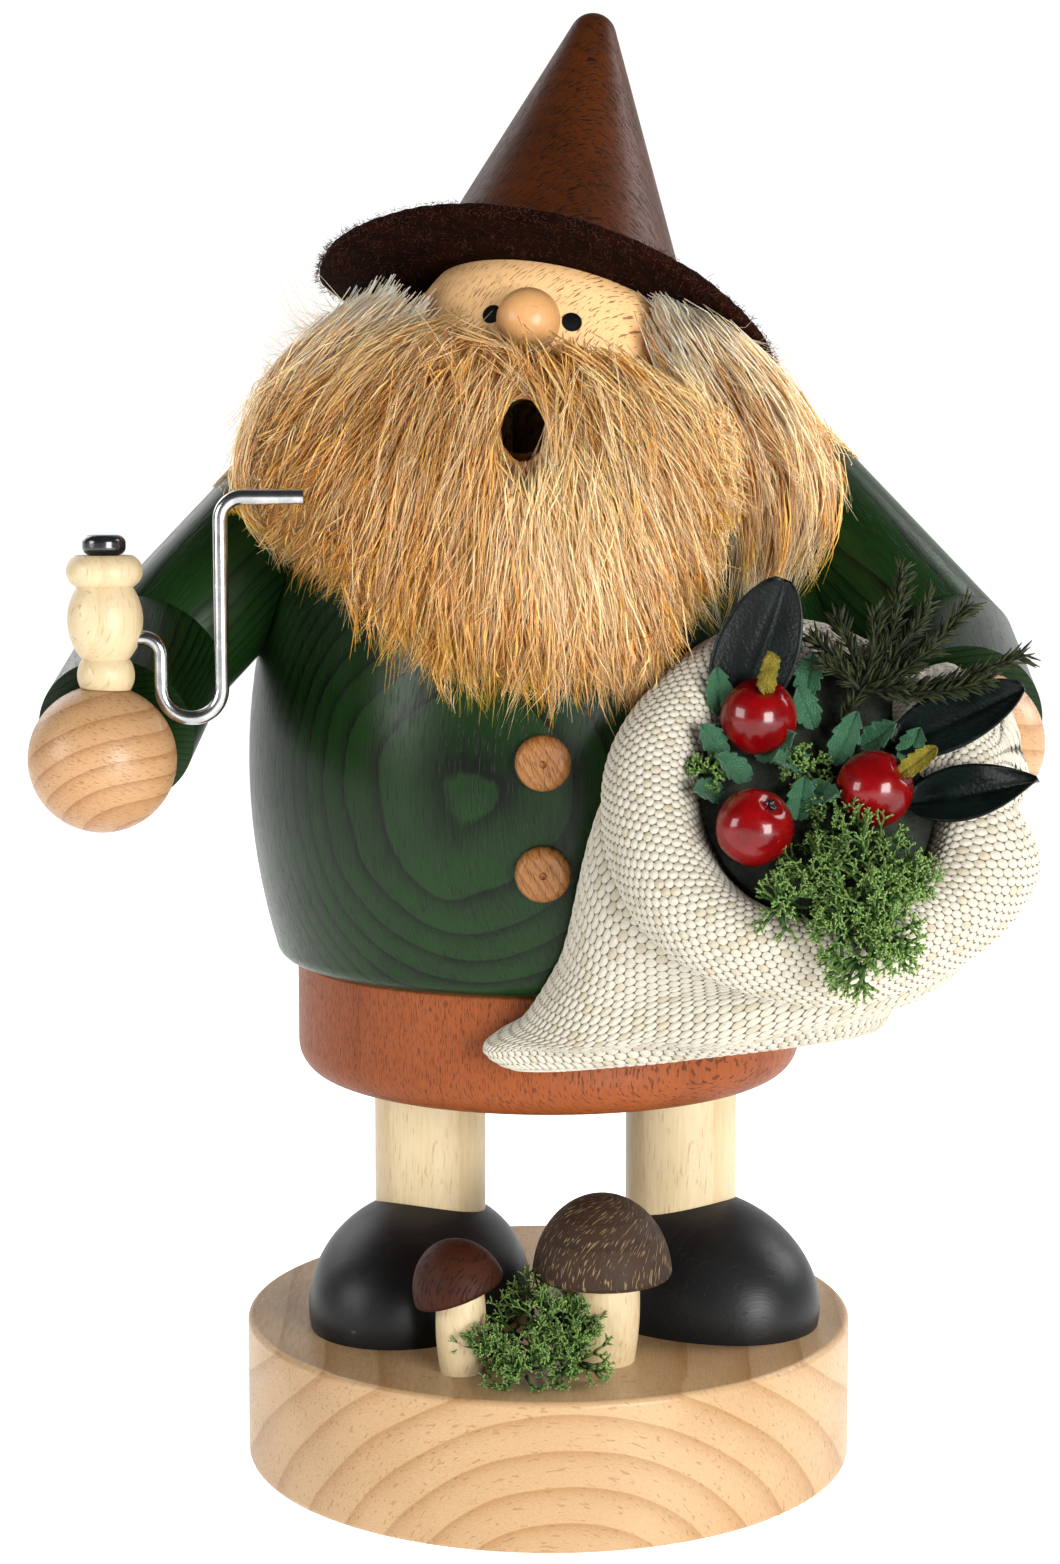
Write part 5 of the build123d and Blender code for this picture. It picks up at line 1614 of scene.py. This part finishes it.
@dataclass(frozen=True)
class Sack:
    """Cloth sack with a turned-down collar, filled with apples, leaves, a conifer sprig and moss.

    Attributes:
        thread_rise: height of a float of the weave, in mm.
        pinch_depth: how far the cloth is drawn in beside the hand, as a share of its reach.
        leaf_push: how far the leaves push the mouth's far side in, as a share of its width.
        fine: points per float, round and along.
        pouch_floats: floats round the bag and rows of them along it; collar_floats likewise.
        seam: centre and tilt in degrees of the sewn lower edge; waist and belly lie above it.
        collar_rings: half width, half height, place out, slack, pinch and push of each ring.
        wad_rings: half width, half height and place out of each ring.
        gap: how far the cloth stays off the figure.
        trousers: their radius.
        layering: how fast layers move apart in front of the hand.
    """

    thread_rise: float = 0.3
    pinch_depth: float = 0.23
    leaf_push: float = 0.16
    fine: tuple[int, int] = (4, 4)
    pouch_floats: tuple[int, int] = (100, 40)
    collar_floats: tuple[int, int] = (112, 40)
    seam: tuple[Triple, Triple] = ((18.0, -40.1, 65.0), (14.0, -9.6, -5.7))
    waist: tuple[Triple, Triple] = ((22.6, -43.2, 72.4), (18.0, -11.0, -5.7))
    belly: tuple[Triple, Triple] = ((27.0, -44.5, 79.4), (22.0, -12.0, -5.7))
    collar_rings: tuple[tuple[float, ...], ...] = (
        (22.5, 19.5, -9.5, 0.0, 0.9, 0.0), (25.4, 23.4, -10.2, 0.4, 1.0, 0.0),
        (26.7, 25.0, -8.2, 0.6, 1.0, 0.0), (26.4, 24.8, -4.6, 0.8, 1.0, 0.0),
        (24.6, 22.8, -1.2, 1.0, 0.8, 0.2), (21.6, 20.4, 0.5, 1.0, 0.5, 0.6),
        (18.4, 18.2, 0.1, 1.0, 0.25, 1.0), (16.4, 17.0, -2.2, 0.8, 0.1, 1.0),
        (15.4, 16.0, -5.6, 0.3, 0.0, 1.0), (14.6, 15.2, -9.2, 0.0, 0.0, 1.0),
    )
    wad_rings: tuple[Triple, ...] = (
        (14.2, 14.8, -9.0), (14.9, 15.5, -5.0), (15.2, 15.8, -3.0), (11.0, 11.5, -2.4), (5.0, 5.2, -2.2),
        (0.3, 0.3, -2.2),
    )
    gap: float = 0.35
    trousers: float = 35.0
    layering: float = 0.12

    @staticmethod
    def oval(turn: Array, wide: Union[float, Array], tall: float, out: float) -> Array:
        """Points of an oval as across, up and out."""
        return np.stack([wide * np.cos(turn), tall * np.sin(turn), np.full(turn.shape, out)], -1)

    @staticmethod
    def on_plane(place: tuple[Triple, Triple], flat: Array) -> Array:
        """Points on a plane that is turned about Z, then Y, then X, and set at a centre.

        Args:
            place: the plane's centre and its tilt about X, Y and Z in degrees.
            flat: (..., 3) points in the plane's own frame.

        Returns:
            The points in the shared frame.
        """
        centre, tilt = place
        ax, ay, az = (radians(angle) for angle in tilt)
        spin = np.array([[1, 0, 0], [0, cos(ax), -sin(ax)], [0, sin(ax), cos(ax)]])
        spin = spin @ np.array([[cos(ay), 0, sin(ay)], [0, 1, 0], [-sin(ay), 0, cos(ay)]])
        spin = spin @ np.array([[cos(az), -sin(az), 0], [sin(az), cos(az), 0], [0, 0, 1]])
        return np.array(centre) + flat @ spin.T

    def pinch(self, turn: Array, share: float) -> Array:
        """How far the cloth is drawn in beside the hand, as a factor on its reach."""
        angle = np.degrees((turn + pi) % (2 * pi) - pi)
        return 1 - self.pinch_depth * share * ease(angle, -22.0, 5.0) * (1 - ease(angle, 55.0, 100.0))

    def narrow(self, turn: Array, share: float) -> Array:
        """How far the mouth's far side is pushed in by the leaves, as a factor on its width."""
        return 1 - self.leaf_push * share * ease(np.cos(turn), 0.0, 0.9)

    def woven(self, sections: Array, floats: tuple[int, int],
              closed: bool) -> tuple[Array, Array]:
        """Cloth through hoops, raised by its weave: each float is a half ellipsoid, laid like bricks.

        Args:
            sections: (s, columns, 3) hoops.
            floats: floats round the bag, and rows of them along it.
            closed: whether the last hoop joins the first.

        Returns:
            The points of the cloth and its UV places, counted in floats.
        """
        across_bag, rows = floats
        if closed:
            sections = np.concatenate([sections, sections[:1]])
        gaps = np.linalg.norm(np.diff(sections, axis=0), axis=2).mean(1)
        at = np.concatenate([[0], np.cumsum(gaps)])
        v = np.linspace(0, rows, rows * self.fine[1] + 1)
        points = cubic(at, sections, v / rows * at[-1])
        u = np.linspace(0, across_bag, points.shape[1] + 1)
        if closed:
            points = points[:-1]
        uv = np.stack(np.meshgrid(u, v), -1)
        place = uv[:points.shape[0], :-1]
        row = np.floor(place[..., 1])
        cover = np.zeros(row.shape)
        for shift in (-1, 0, 1):
            across = (place[..., 0] + 0.5 * ((row + shift) % 2)) % 1 - 0.5
            along = place[..., 1] - row - shift - 0.5
            cover = np.maximum(cover, 1 - (across / FLOAT_HALF[0]) ** 2 - (along / FLOAT_HALF[1]) ** 2)
        rise = np.sqrt(cover) * self.thread_rise
        return points + grid_normals(points, (closed, True)) * rise[..., None], uv

    def pouch(self) -> Patch:
        """The hanging bag, sewn flat along its lower edge and closed inside the collar."""
        turn = circle(self.pouch_floats[0] * self.fine[0])
        placed = ((self.seam, 18.0, 0.4, -0.4), (self.seam, 23.6, 3.2, 0.8), (self.seam, 25.9, 6.2, 3.8),
                  (self.waist, 27.0, 10.0, 0.0), (self.belly, 27.2, 11.8, 0.0))
        at_mouth = ((23.6, 20.4, -9.5), (19.0, 17.4, -11.5), (2.0, 2.0, -12.6))
        sections = np.stack([self.on_plane(place, self.oval(turn, *size)) for place, *size in placed]
                            + [mouth_spot(self.oval(turn, *size)) for size in at_mouth])
        neck = mouth_spot([0.0, 0.0, -9.5])
        sections[5:7] = neck + (sections[5:7] - neck) * self.pinch(turn, 1.0)[:, None]
        crease = np.exp(-(((turn - radians(236.0)) / 0.28) ** 2))
        sections[4] += np.stack([0.4 * crease, 1.0 * crease, -0.3 * crease], -1) * 1.2
        sections[2:5] += lumps(sections[2:5], 16.0, 61)[..., None] * np.array([0.3, 0.5, 0.3])
        points, uv = self.woven(sections, self.pouch_floats, False)
        index = np.arange(points.size // 3).reshape(points.shape[:2])
        half = points.shape[1] // 2
        ends = []
        for row, turned in ((index[0], 1), (index[-1], -1)):
            strip = quads(np.stack([row[:half + 1], np.concatenate([row[:1], row[:half - 1:-1]])]))
            whole = (strip != np.roll(strip, 1, axis=1)).all(axis=1)
            ends.append(strip[whole][:, ::turned])
        return grid(self.clear(points), uv, (False, True)).capped(*ends)

    def collar(self) -> Patch:
        """The turned-down collar: a slack ring from the fold below, over the lip and into the mouth."""
        turn = circle(self.collar_floats[0] * self.fine[0])
        wave = 1 + 0.022 * np.sin(2 * turn + 0.5) + 0.016 * np.sin(3 * turn + 2.1) + 0.01 * np.sin(7 * turn)
        dip = 0.7 * np.sin(2 * turn + 1.3) + 0.5 * np.sin(3 * turn)
        sections = []
        for wide, tall, out, slack, drawn, pushed in self.collar_rings:
            hoop = self.oval(turn, wide * self.narrow(turn, pushed), tall, out)
            hoop[:, :2] *= ((1 + (wave - 1) * slack) * self.pinch(turn, drawn))[:, None]
            hoop[:, 2] += dip * slack
            sections.append(mouth_spot(hoop))
        points, uv = self.woven(np.stack(sections), self.collar_floats, True)
        return grid(self.clear(points), uv, (True, True))

    def clear(self, points: Array) -> Array:
        """Cloth moved off the coat, the trousers and the hand, with its layers kept apart.

        Args:
            points: (..., 3) points of the cloth.

        Returns:
            The points, moved where they were nearer.
        """
        height = points[..., 2]
        wall = np.where(height > SEAM, body_radius(height), self.trousers) + self.gap
        out = off_wall(points, wall)
        inward = unit(SACK_CENTRE - HAND_LEFT)
        layer = np.maximum((out - HAND_LEFT) @ inward + HAND_RADIUS, 0.0)
        return off_ball(out, HAND_LEFT, (HAND_RADIUS + self.gap + self.layering * layer)[..., None])

    def wad(self) -> Patch:
        """Lumpy wadding behind the mouth, coloured dark as painted shade in the gaps between the trimmings,
        with a tinge of moss green.
        """
        spokes = 64
        turn = circle(spokes)
        narrow = self.narrow(turn, 1.0)
        hoops = [self.oval(turn, wide * narrow, tall, out) for wide, tall, out in self.wad_rings]
        points = mouth_spot(np.stack(hoops))
        points[2:] += lumps(points[2:], 5.0, 62)[..., None] * SACK_AXES[2] * 0.5
        return grid(points, even_uv(len(hoops), spokes + 1), (False, True))

    def build(self) -> None:
        """Make the cloth, the wadding and what lies in the mouth."""
        cloth = SACKCLOTH.material("sackcloth")
        pouch = add_piece("sack_pouch", self.pouch(), cloth, "sackcloth", "sack")
        collar = add_piece("sack_collar", self.collar(), cloth, "sackcloth", "sack")
        # The wadding's dark colour is painted shade that shows between the trimmings.
        add_piece("sack_wadding", self.wad(), SHADED_WAD.material("wadding"), "wadding", "sack_stuffing")
        Trimmings().build()


@dataclass(frozen=True)
class Trimmings:
    """Apples, leaves, sprig and moss in the sack, placed on the mouth's plane as across, up, out.

    Attributes:
        apple_radius: of all apples.
        apples: name, place, tilt in degrees and whether a stalk is glued in.
        leaves: name, root, tip, width, pointedness and curl.
        cloth_leaves: root, turn in degrees and length of each scrap.
        moss_balls: centre and radius of the balls that the moss fills.
    """

    apple_radius: float = 4.6
    apples: tuple[tuple[str, Triple, tuple[float, float], bool], ...] = (
        ("apple_upper", (-8.3, 8.0, 1.4), (10.0, 60.0), True),
        ("apple_right", (5.1, -1.4, 1.5), (70.0, 35.0), True),
        ("apple_lower", (-9.3, -6.5, 1.9), (50.0, 58.0), False),
    )
    leaves: tuple[tuple[str, Triple, Triple, float, float, float], ...] = (
        ("leaf_upper", (-11.2, 9.4, -1.6), (-5.0, 23.6, 7.6), 10.2, 0.5, 0.9),
        ("leaf_side_high", (7.6, 5.0, -1.0), (23.0, 9.2, 6.9), 7.6, 0.6, 0.7),
        ("leaf_side_low", (8.6, -2.2, -1.6), (24.0, -2.6, 6.2), 7.2, 0.9, 0.8),
    )
    cloth_leaves: tuple[tuple[Triple, float, float], ...] = (
        ((-2.5, 11.5, -1.2), 80.0, 6.0), ((0.6, 2.6, -0.6), 62.0, 7.4), ((-3.5, -1.0, -0.2), 330.0, 6.4),
        ((-9.5, 0.8, -0.4), 165.0, 6.0), ((-2.5, 3.0, -0.6), 200.0, 6.5), ((-12.6, 9.0, -0.4), 100.0, 6.2),
        ((-12.4, 3.6, -0.4), 140.0, 5.4), ((6.8, -7.0, -0.4), 300.0, 4.6), ((-8.5, 3.4, -0.6), 20.0, 6.2),
        ((-1.6, 7.4, -0.6), 120.0, 6.0), ((9.0, 3.0, -1.0), 60.0, 5.0), ((-13.0, -1.0, -0.4), 200.0, 5.0),
        ((-4.0, -4.6, -0.4), 80.0, 5.6), ((4.0, 5.0, -0.8), 20.0, 5.6),
    )
    sprig_root: Triple = (1.0, 6.6, -1.2)
    sprig_fork: Triple = (3.9, 11.3, 2.0)
    sprig_tips: tuple[Triple, ...] = (
        (9.4, 26.7, 4.0), (16.8, 21.1, 5.0), (23.0, 14.1, 6.0), (18.7, 10.3, 7.0), (1.2, 20.0, 3.0),
        (-1.7, 17.5, 3.0), (5.8, 20.5, 4.2), (12.0, 14.5, 6.6), (12.6, 22.6, 4.8), (-0.6, 13.4, 4.6),
        (8.6, 10.2, 5.4),
    )
    moss_balls: tuple[tuple[Triple, float], ...] = (
        ((2.0, -6.0, 0.6), 4.0), ((3.4, -11.9, 2.2), 5.6), ((2.8, -17.5, 3.8), 5.4),
        ((2.6, -22.8, 3.0), 4.8), ((-6.5, -16.5, 2.2), 3.8), ((-2.0, -12.4, 1.8), 4.4),
        ((7.6, -12.4, 2.4), 3.8), ((0.0, -3.0, 0.0), 3.0), ((-3.2, 2.4, -0.6), 2.8),
        ((-14.4, 1.2, 0.0), 2.2), ((0.6, -20.0, 3.2), 4.4), ((5.2, -20.6, 3.0), 4.2),
    )

    def apple(self, place: Triple, tilt: tuple[float, float]) -> Patch:
        """A small apple: a ball with a dent at its stalk, another opposite, and five faint ribs.

        Args:
            place: its middle on the mouth's plane.
            tilt: turn and lift of its stalk, in degrees.

        Returns:
            The apple, closed at both poles.
        """
        rings, spokes, pole = 40, 56, 0.02
        lat = np.linspace(pole, pi - pole, rings)[:, None]
        turn = circle(spokes)[None]
        dent = 1 - 0.2 * np.exp(-((lat / 0.32) ** 2)) - 0.12 * np.exp(-(((pi - lat) / 0.3) ** 2))
        reach = self.apple_radius * dent * (1 + 0.012 * np.cos(5 * turn) * np.sin(lat))
        axis = self.way(tilt)
        side = unit(np.cross(axis, [0.0, 0.0, 1.0]))
        base = np.stack([side, np.cross(axis, side), axis])
        local = np.stack([reach * np.sin(lat) * np.cos(turn), reach * np.sin(lat) * np.sin(turn),
                          reach * np.cos(lat) * np.ones_like(turn)], -1)
        points = mouth_spot(place) + local[::-1] @ base
        index = np.arange(rings * spokes).reshape(rings, spokes)
        fans = [np.stack([np.full(spokes - 2, row[0]), row[1:-1], row[2:]], -1)
                for row in (index[0, ::-1], index[-1])]
        return grid(points, even_uv(rings, spokes + 1), (False, True)).capped(*fans)

    @staticmethod
    def way(tilt: tuple[float, float]) -> Array:
        """Direction from a turn on the mouth's plane and a lift out of it, in degrees."""
        turn, lift = (radians(angle) for angle in tilt)
        return np.array([sin(turn) * cos(lift), cos(turn) * cos(lift), sin(lift)]) @ SACK_AXES

    @staticmethod
    def leaf(start: Array, end: Array, face: Array, width: float, blunt: float, curl: float,
             teeth: int = 0, thick: float = 0.35, seed: int = 1) -> Patch:
        """A leaf blade: a power of a sine wide, bowed up at sides and tip, with a sunk midrib.

        Args:
            start: root of the leaf.
            end: its tip.
            face: the way its upper side looks.
            width: widest breadth.
            blunt: 0.4 for a round tip, 1 for a pointed one.
            curl: how far its sides and tip bend up.
            teeth: notches along each edge.
            thick: thickness.
            seed: shift of its waves.

        Returns:
            The leaf, closed all round.
        """
        rows, columns, tip = 40, 17, 0.015
        long = np.linalg.norm(end - start)
        run = (end - start) / long
        face = unit(face - run * (face @ run))
        side = np.cross(run, face)
        t = np.linspace(tip, 1 - tip, rows)[:, None]
        s = np.linspace(-1, 1, columns)[None, :]
        half = width / 2 * np.sin(pi * t ** 0.85) ** blunt * np.interp(t, [0, 0.12, 1], [0.5, 1, 1])
        if teeth:
            half = half * (1 - 0.28 * ((t * teeth) % 1.0))
        sag = curl * (s**2 * 0.9 + (t - 0.4) ** 2 * 2.2) - 0.32 * np.exp(-((s / 0.12) ** 2))
        wave = 0.12 * np.sin(9 * t + 2.5 * np.sign(s) + seed) * np.abs(s)
        points = (start + run * (t * long)[..., None] + side * (half * s)[..., None]
                  + face * (sag + wave)[..., None])
        if (grid_normals(points, (False, False)) @ face).mean() <= 0:
            points = points[:, ::-1]
        return blade(points + face * thick / 2, points - face * thick / 2)

    def sprig(self) -> tuple[Patch, Patch]:
        """Forked twig with swayed branches, and needles that stand off them all round.

        Returns:
            The wood and the needles.
        """
        rng, steps = np.random.default_rng(71), 12
        root, fork = mouth_spot(self.sprig_root), mouth_spot(self.sprig_fork)
        k = np.linspace(0, 1, steps)[:, None]
        ways = [root + (fork - root) * k]
        for tip in self.sprig_tips:
            run = mouth_spot(tip) - fork
            sway = np.cross(run, SACK_AXES[2]) * 0.08
            ways.append(fork + run * k + sway * np.sin(pi * k))
        stems = np.stack(ways)
        radii = np.broadcast_to(np.linspace(0.55, 0.3, steps), stems.shape[:2])
        wood = tubes(stems, radii, 6, np.zeros(len(stems)))
        roots, outs = [], []
        for path in stems:
            long = np.linalg.norm(path[-1] - path[0])
            run = (path[-1] - path[0]) / long
            count = int(long / 0.11)
            at = rng.uniform(0.08, 1.0, count) * (steps - 1)
            low = np.minimum(at.astype(int), steps - 2)
            roots.append(path[low] + (path[low + 1] - path[low]) * (at - low)[:, None])
            spin = rng.normal(size=(count, 3))
            spin = unit(spin - run * (spin @ run)[:, None])
            outs.append(run * 0.8 + spin * rng.uniform(0.45, 0.75, (count, 1)))
        root, out = np.concatenate(roots), np.concatenate(outs)
        size = rng.uniform(1.6, 2.8, (len(root), 1))
        bent = out + rng.normal(size=out.shape) * 0.08
        paths = np.stack([root, root + out * size * 0.5, root + (out + bent) * size * 0.5], axis=1)
        radii = np.broadcast_to([0.12, 0.2, 0.06], paths.shape[:2])
        return wood, tubes(paths, radii, 4, rng.random(len(root)))

    def build_apples(self) -> None:
        """Make the apples, each with its felt stalk or its dark calyx."""
        across, up, out = SACK_AXES
        for name, place, tilt, stalked in self.apples:
            add_piece(f"{name}_fruit", self.apple(place, tilt), APPLE.material(name), "apple_lacquer", name)
            way = self.way(tilt)
            dent = mouth_spot(place) + way * self.apple_radius * 0.78
            if stalked:
                tag = self.leaf(dent, dent + way * 5.4 + up * 0.6, out + 0.4 * across, 2.7, 0.35, 0.6,
                                teeth=5, thick=0.8, seed=len(name))
                stalk = f"{name}_stalk"
                add_piece(f"{stalk}_felt", tag, STALK.material(stalk), "stalk_felt", stalk)
            else:
                tips, calyx = 9, f"{name}_calyx"
                spread = np.random.default_rng(73).normal(size=(tips, 3)) * 0.5
                ends = (way + spread)[:, None] * np.array([0, 0.7])[:, None]
                paths = np.stack([dent - way * 0.3, dent + way * 0.2])[None] + ends
                tuft = tubes(paths, np.full((tips, 2), 0.24), 5, np.zeros(tips))
                add_piece(calyx, tuft, BLACK.material(calyx), "twig")

    def build_leaves(self) -> None:
        """Make the dark leaves and the cloth scraps, whose UV map counts threads."""
        out, threads = SACK_AXES[2], np.array([9.0, 16.0])
        for number, (name, start, end, width, blunt, curl) in enumerate(self.leaves):
            made = self.leaf(mouth_spot(start), mouth_spot(end), out, width, blunt, curl, seed=number)
            add_piece(f"{name}_blade", made, DARK_LEAF.material(name), "leaf_skin", name)
        scraps = []
        for number, (spot, turn, size) in enumerate(self.cloth_leaves):
            way = np.array([cos(radians(turn)), sin(radians(turn)), 0.8]) * size / 1.28
            start, end = mouth_spot(spot), mouth_spot(np.array(spot) + way)
            scraps.append(self.leaf(start, end, out, 3.8, 0.6, 0.5, teeth=4, thick=0.25, seed=number))
        scrap = Patch.joined(scraps)
        scrap = replace(scrap, uv=scrap.uv * threads)
        cloth = LEAF_CLOTH.material("cloth_leaves")
        add_piece("cloth_leaf_scraps", scrap, cloth, "leaf_cloth", "cloth_leaves")

    def build(self) -> None:
        """Make every trimming."""
        self.build_apples()
        self.build_leaves()
        wood, needles = self.sprig()
        add_piece("fir_twig", wood, TWIG.material("fir_twig"), "twig", "fir_sprig")
        add_piece("fir_needles", needles, TWIG.material("fir_needles"), "twig")
        balls = tuple((tuple(mouth_spot(spot)), radius) for spot, radius in self.moss_balls)
        tuft = Moss(balls, SACK_AXES[2], 0.0, 12).patch()
        add_piece("sack_moss_tuft", tuft, MOSS.material("sack_moss"), "moss", "sack_moss")


@dataclass(frozen=True)
class Studio:
    """Floor, soft lights and the camera.

    Attributes:
        pitch: how far the camera looks down, in degrees.
        near: nearest distance that it shows, in metres.
        wall: glow of the world behind the figure.
        front: its glow in front.
        ceiling: its glow overhead, as a share of the wall's.
        floor_radius: in metres.
        lights: name, place and width in mm, and power of each lamp.
        aim: what the lamps face.
    """

    eye: Triple = (-2.61, -385.0, 137.5)
    pitch: float = 6.33
    lens: float = 63.99
    sensor: float = 36.0
    near: float = 0.01
    wall: float = 1.05
    front: float = 0.12
    ceiling: float = 0.43
    floor_glow: float = 0.92
    floor_radius: float = 6.0
    lights: tuple[tuple[str, Triple, float, float], ...] = (
        ("key", (330.0, -590.0, 150.0), 300.0, 6.2),
        ("strip", (-520.0, -300.0, 240.0), 240.0, 2.0),
        ("rim", (460.0, 140.0, 380.0), 300.0, 2.4),
        ("back", (-380.0, 360.0, 380.0), 360.0, 1.0),
    )
    aim: Triple = (0.0, 0.0, 100.0)

    @staticmethod
    def stand(name: str, data: bpy.types.ID) -> bpy.types.Object:
        """Put a new object into the scene."""
        made = bpy.data.objects.new(name, data)
        bpy.context.scene.collection.objects.link(made)
        return made

    def build_floor(self) -> None:
        """A wide glowing disc under the figure."""
        turn = circle(96)
        ring = np.stack([np.cos(turn), np.sin(turn), np.zeros(turn.shape)], -1) * self.floor_radius
        mesh = bpy.data.meshes.new("floor")
        mesh.from_pydata(ring.tolist(), [], [list(range(len(ring)))])
        material = bpy.data.materials.new("floor")
        material.use_nodes = True
        shader = material.node_tree.nodes["Principled BSDF"]
        shader.inputs["Base Color"].default_value = colour("E9E8E6")
        shader.inputs["Roughness"].default_value = 0.8
        shader.inputs["Emission Color"].default_value = WHITE
        shader.inputs["Emission Strength"].default_value = self.floor_glow
        mesh.materials.append(material)
        self.stand("floor", mesh)

    def build_world(self) -> None:
        """A white world, bright behind the figure and dim in front and overhead."""
        world = bpy.data.worlds.new("studio")
        world.use_nodes = True
        graph = Graph(world.node_tree)
        sky = world.node_tree.nodes["Background"]
        sky.inputs["Color"].default_value = WHITE
        _, behind, height = graph.split(graph.place("Generated"))
        walls = graph.span(behind, 0.2, 0.75, (self.front, self.wall))
        glow = graph.math("MULTIPLY", walls, graph.span(height, 0.2, 0.6, (1.0, self.ceiling)))
        graph.put(sky.inputs["Strength"], glow)
        bpy.context.scene.world = world

    def build_lamps(self) -> None:
        """Square soft lamps that face the figure."""
        for name, place, size, power in self.lights:
            lamp = bpy.data.lights.new(name, "AREA")
            lamp.size = size * MM
            lamp.energy = power
            holder = self.stand(name, lamp)
            holder.location = Vector(place) * MM
            holder.rotation_euler = (Vector(self.aim) - Vector(place)).to_track_quat("-Z", "Y").to_euler()

    def build_camera(self) -> None:
        """The camera in front, level across and pitched down."""
        camera = bpy.data.cameras.new("camera")
        camera.lens = self.lens
        camera.sensor_width = self.sensor
        camera.clip_start = self.near
        view = self.stand("camera", camera)
        view.location = Vector(self.eye) * MM
        view.rotation_euler = (radians(90.0 - self.pitch), 0.0, 0.0)
        bpy.context.scene.camera = view

    def build(self) -> None:
        """Set the stage."""
        bpy.context.scene.view_settings.view_transform = "Standard"
        self.build_floor()
        self.build_world()
        self.build_lamps()
        self.build_camera()


def main() -> None:
    """Build all looks on the loaded frame."""
    logging.basicConfig(level=logging.INFO, format="%(name)s %(message)s")
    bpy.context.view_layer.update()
    for make in (make_wood_effect, make_mottle_effect, make_weave_effect, make_hair_effect):
        make()
    for part in (Stand(), Coat(), Head(), Hat(), BEARD, HAIR, Pipe(), Sack(), Studio()):
        log.info("building %s", type(part).__name__)
        part.build()


if __name__ == "__main__":
    main()
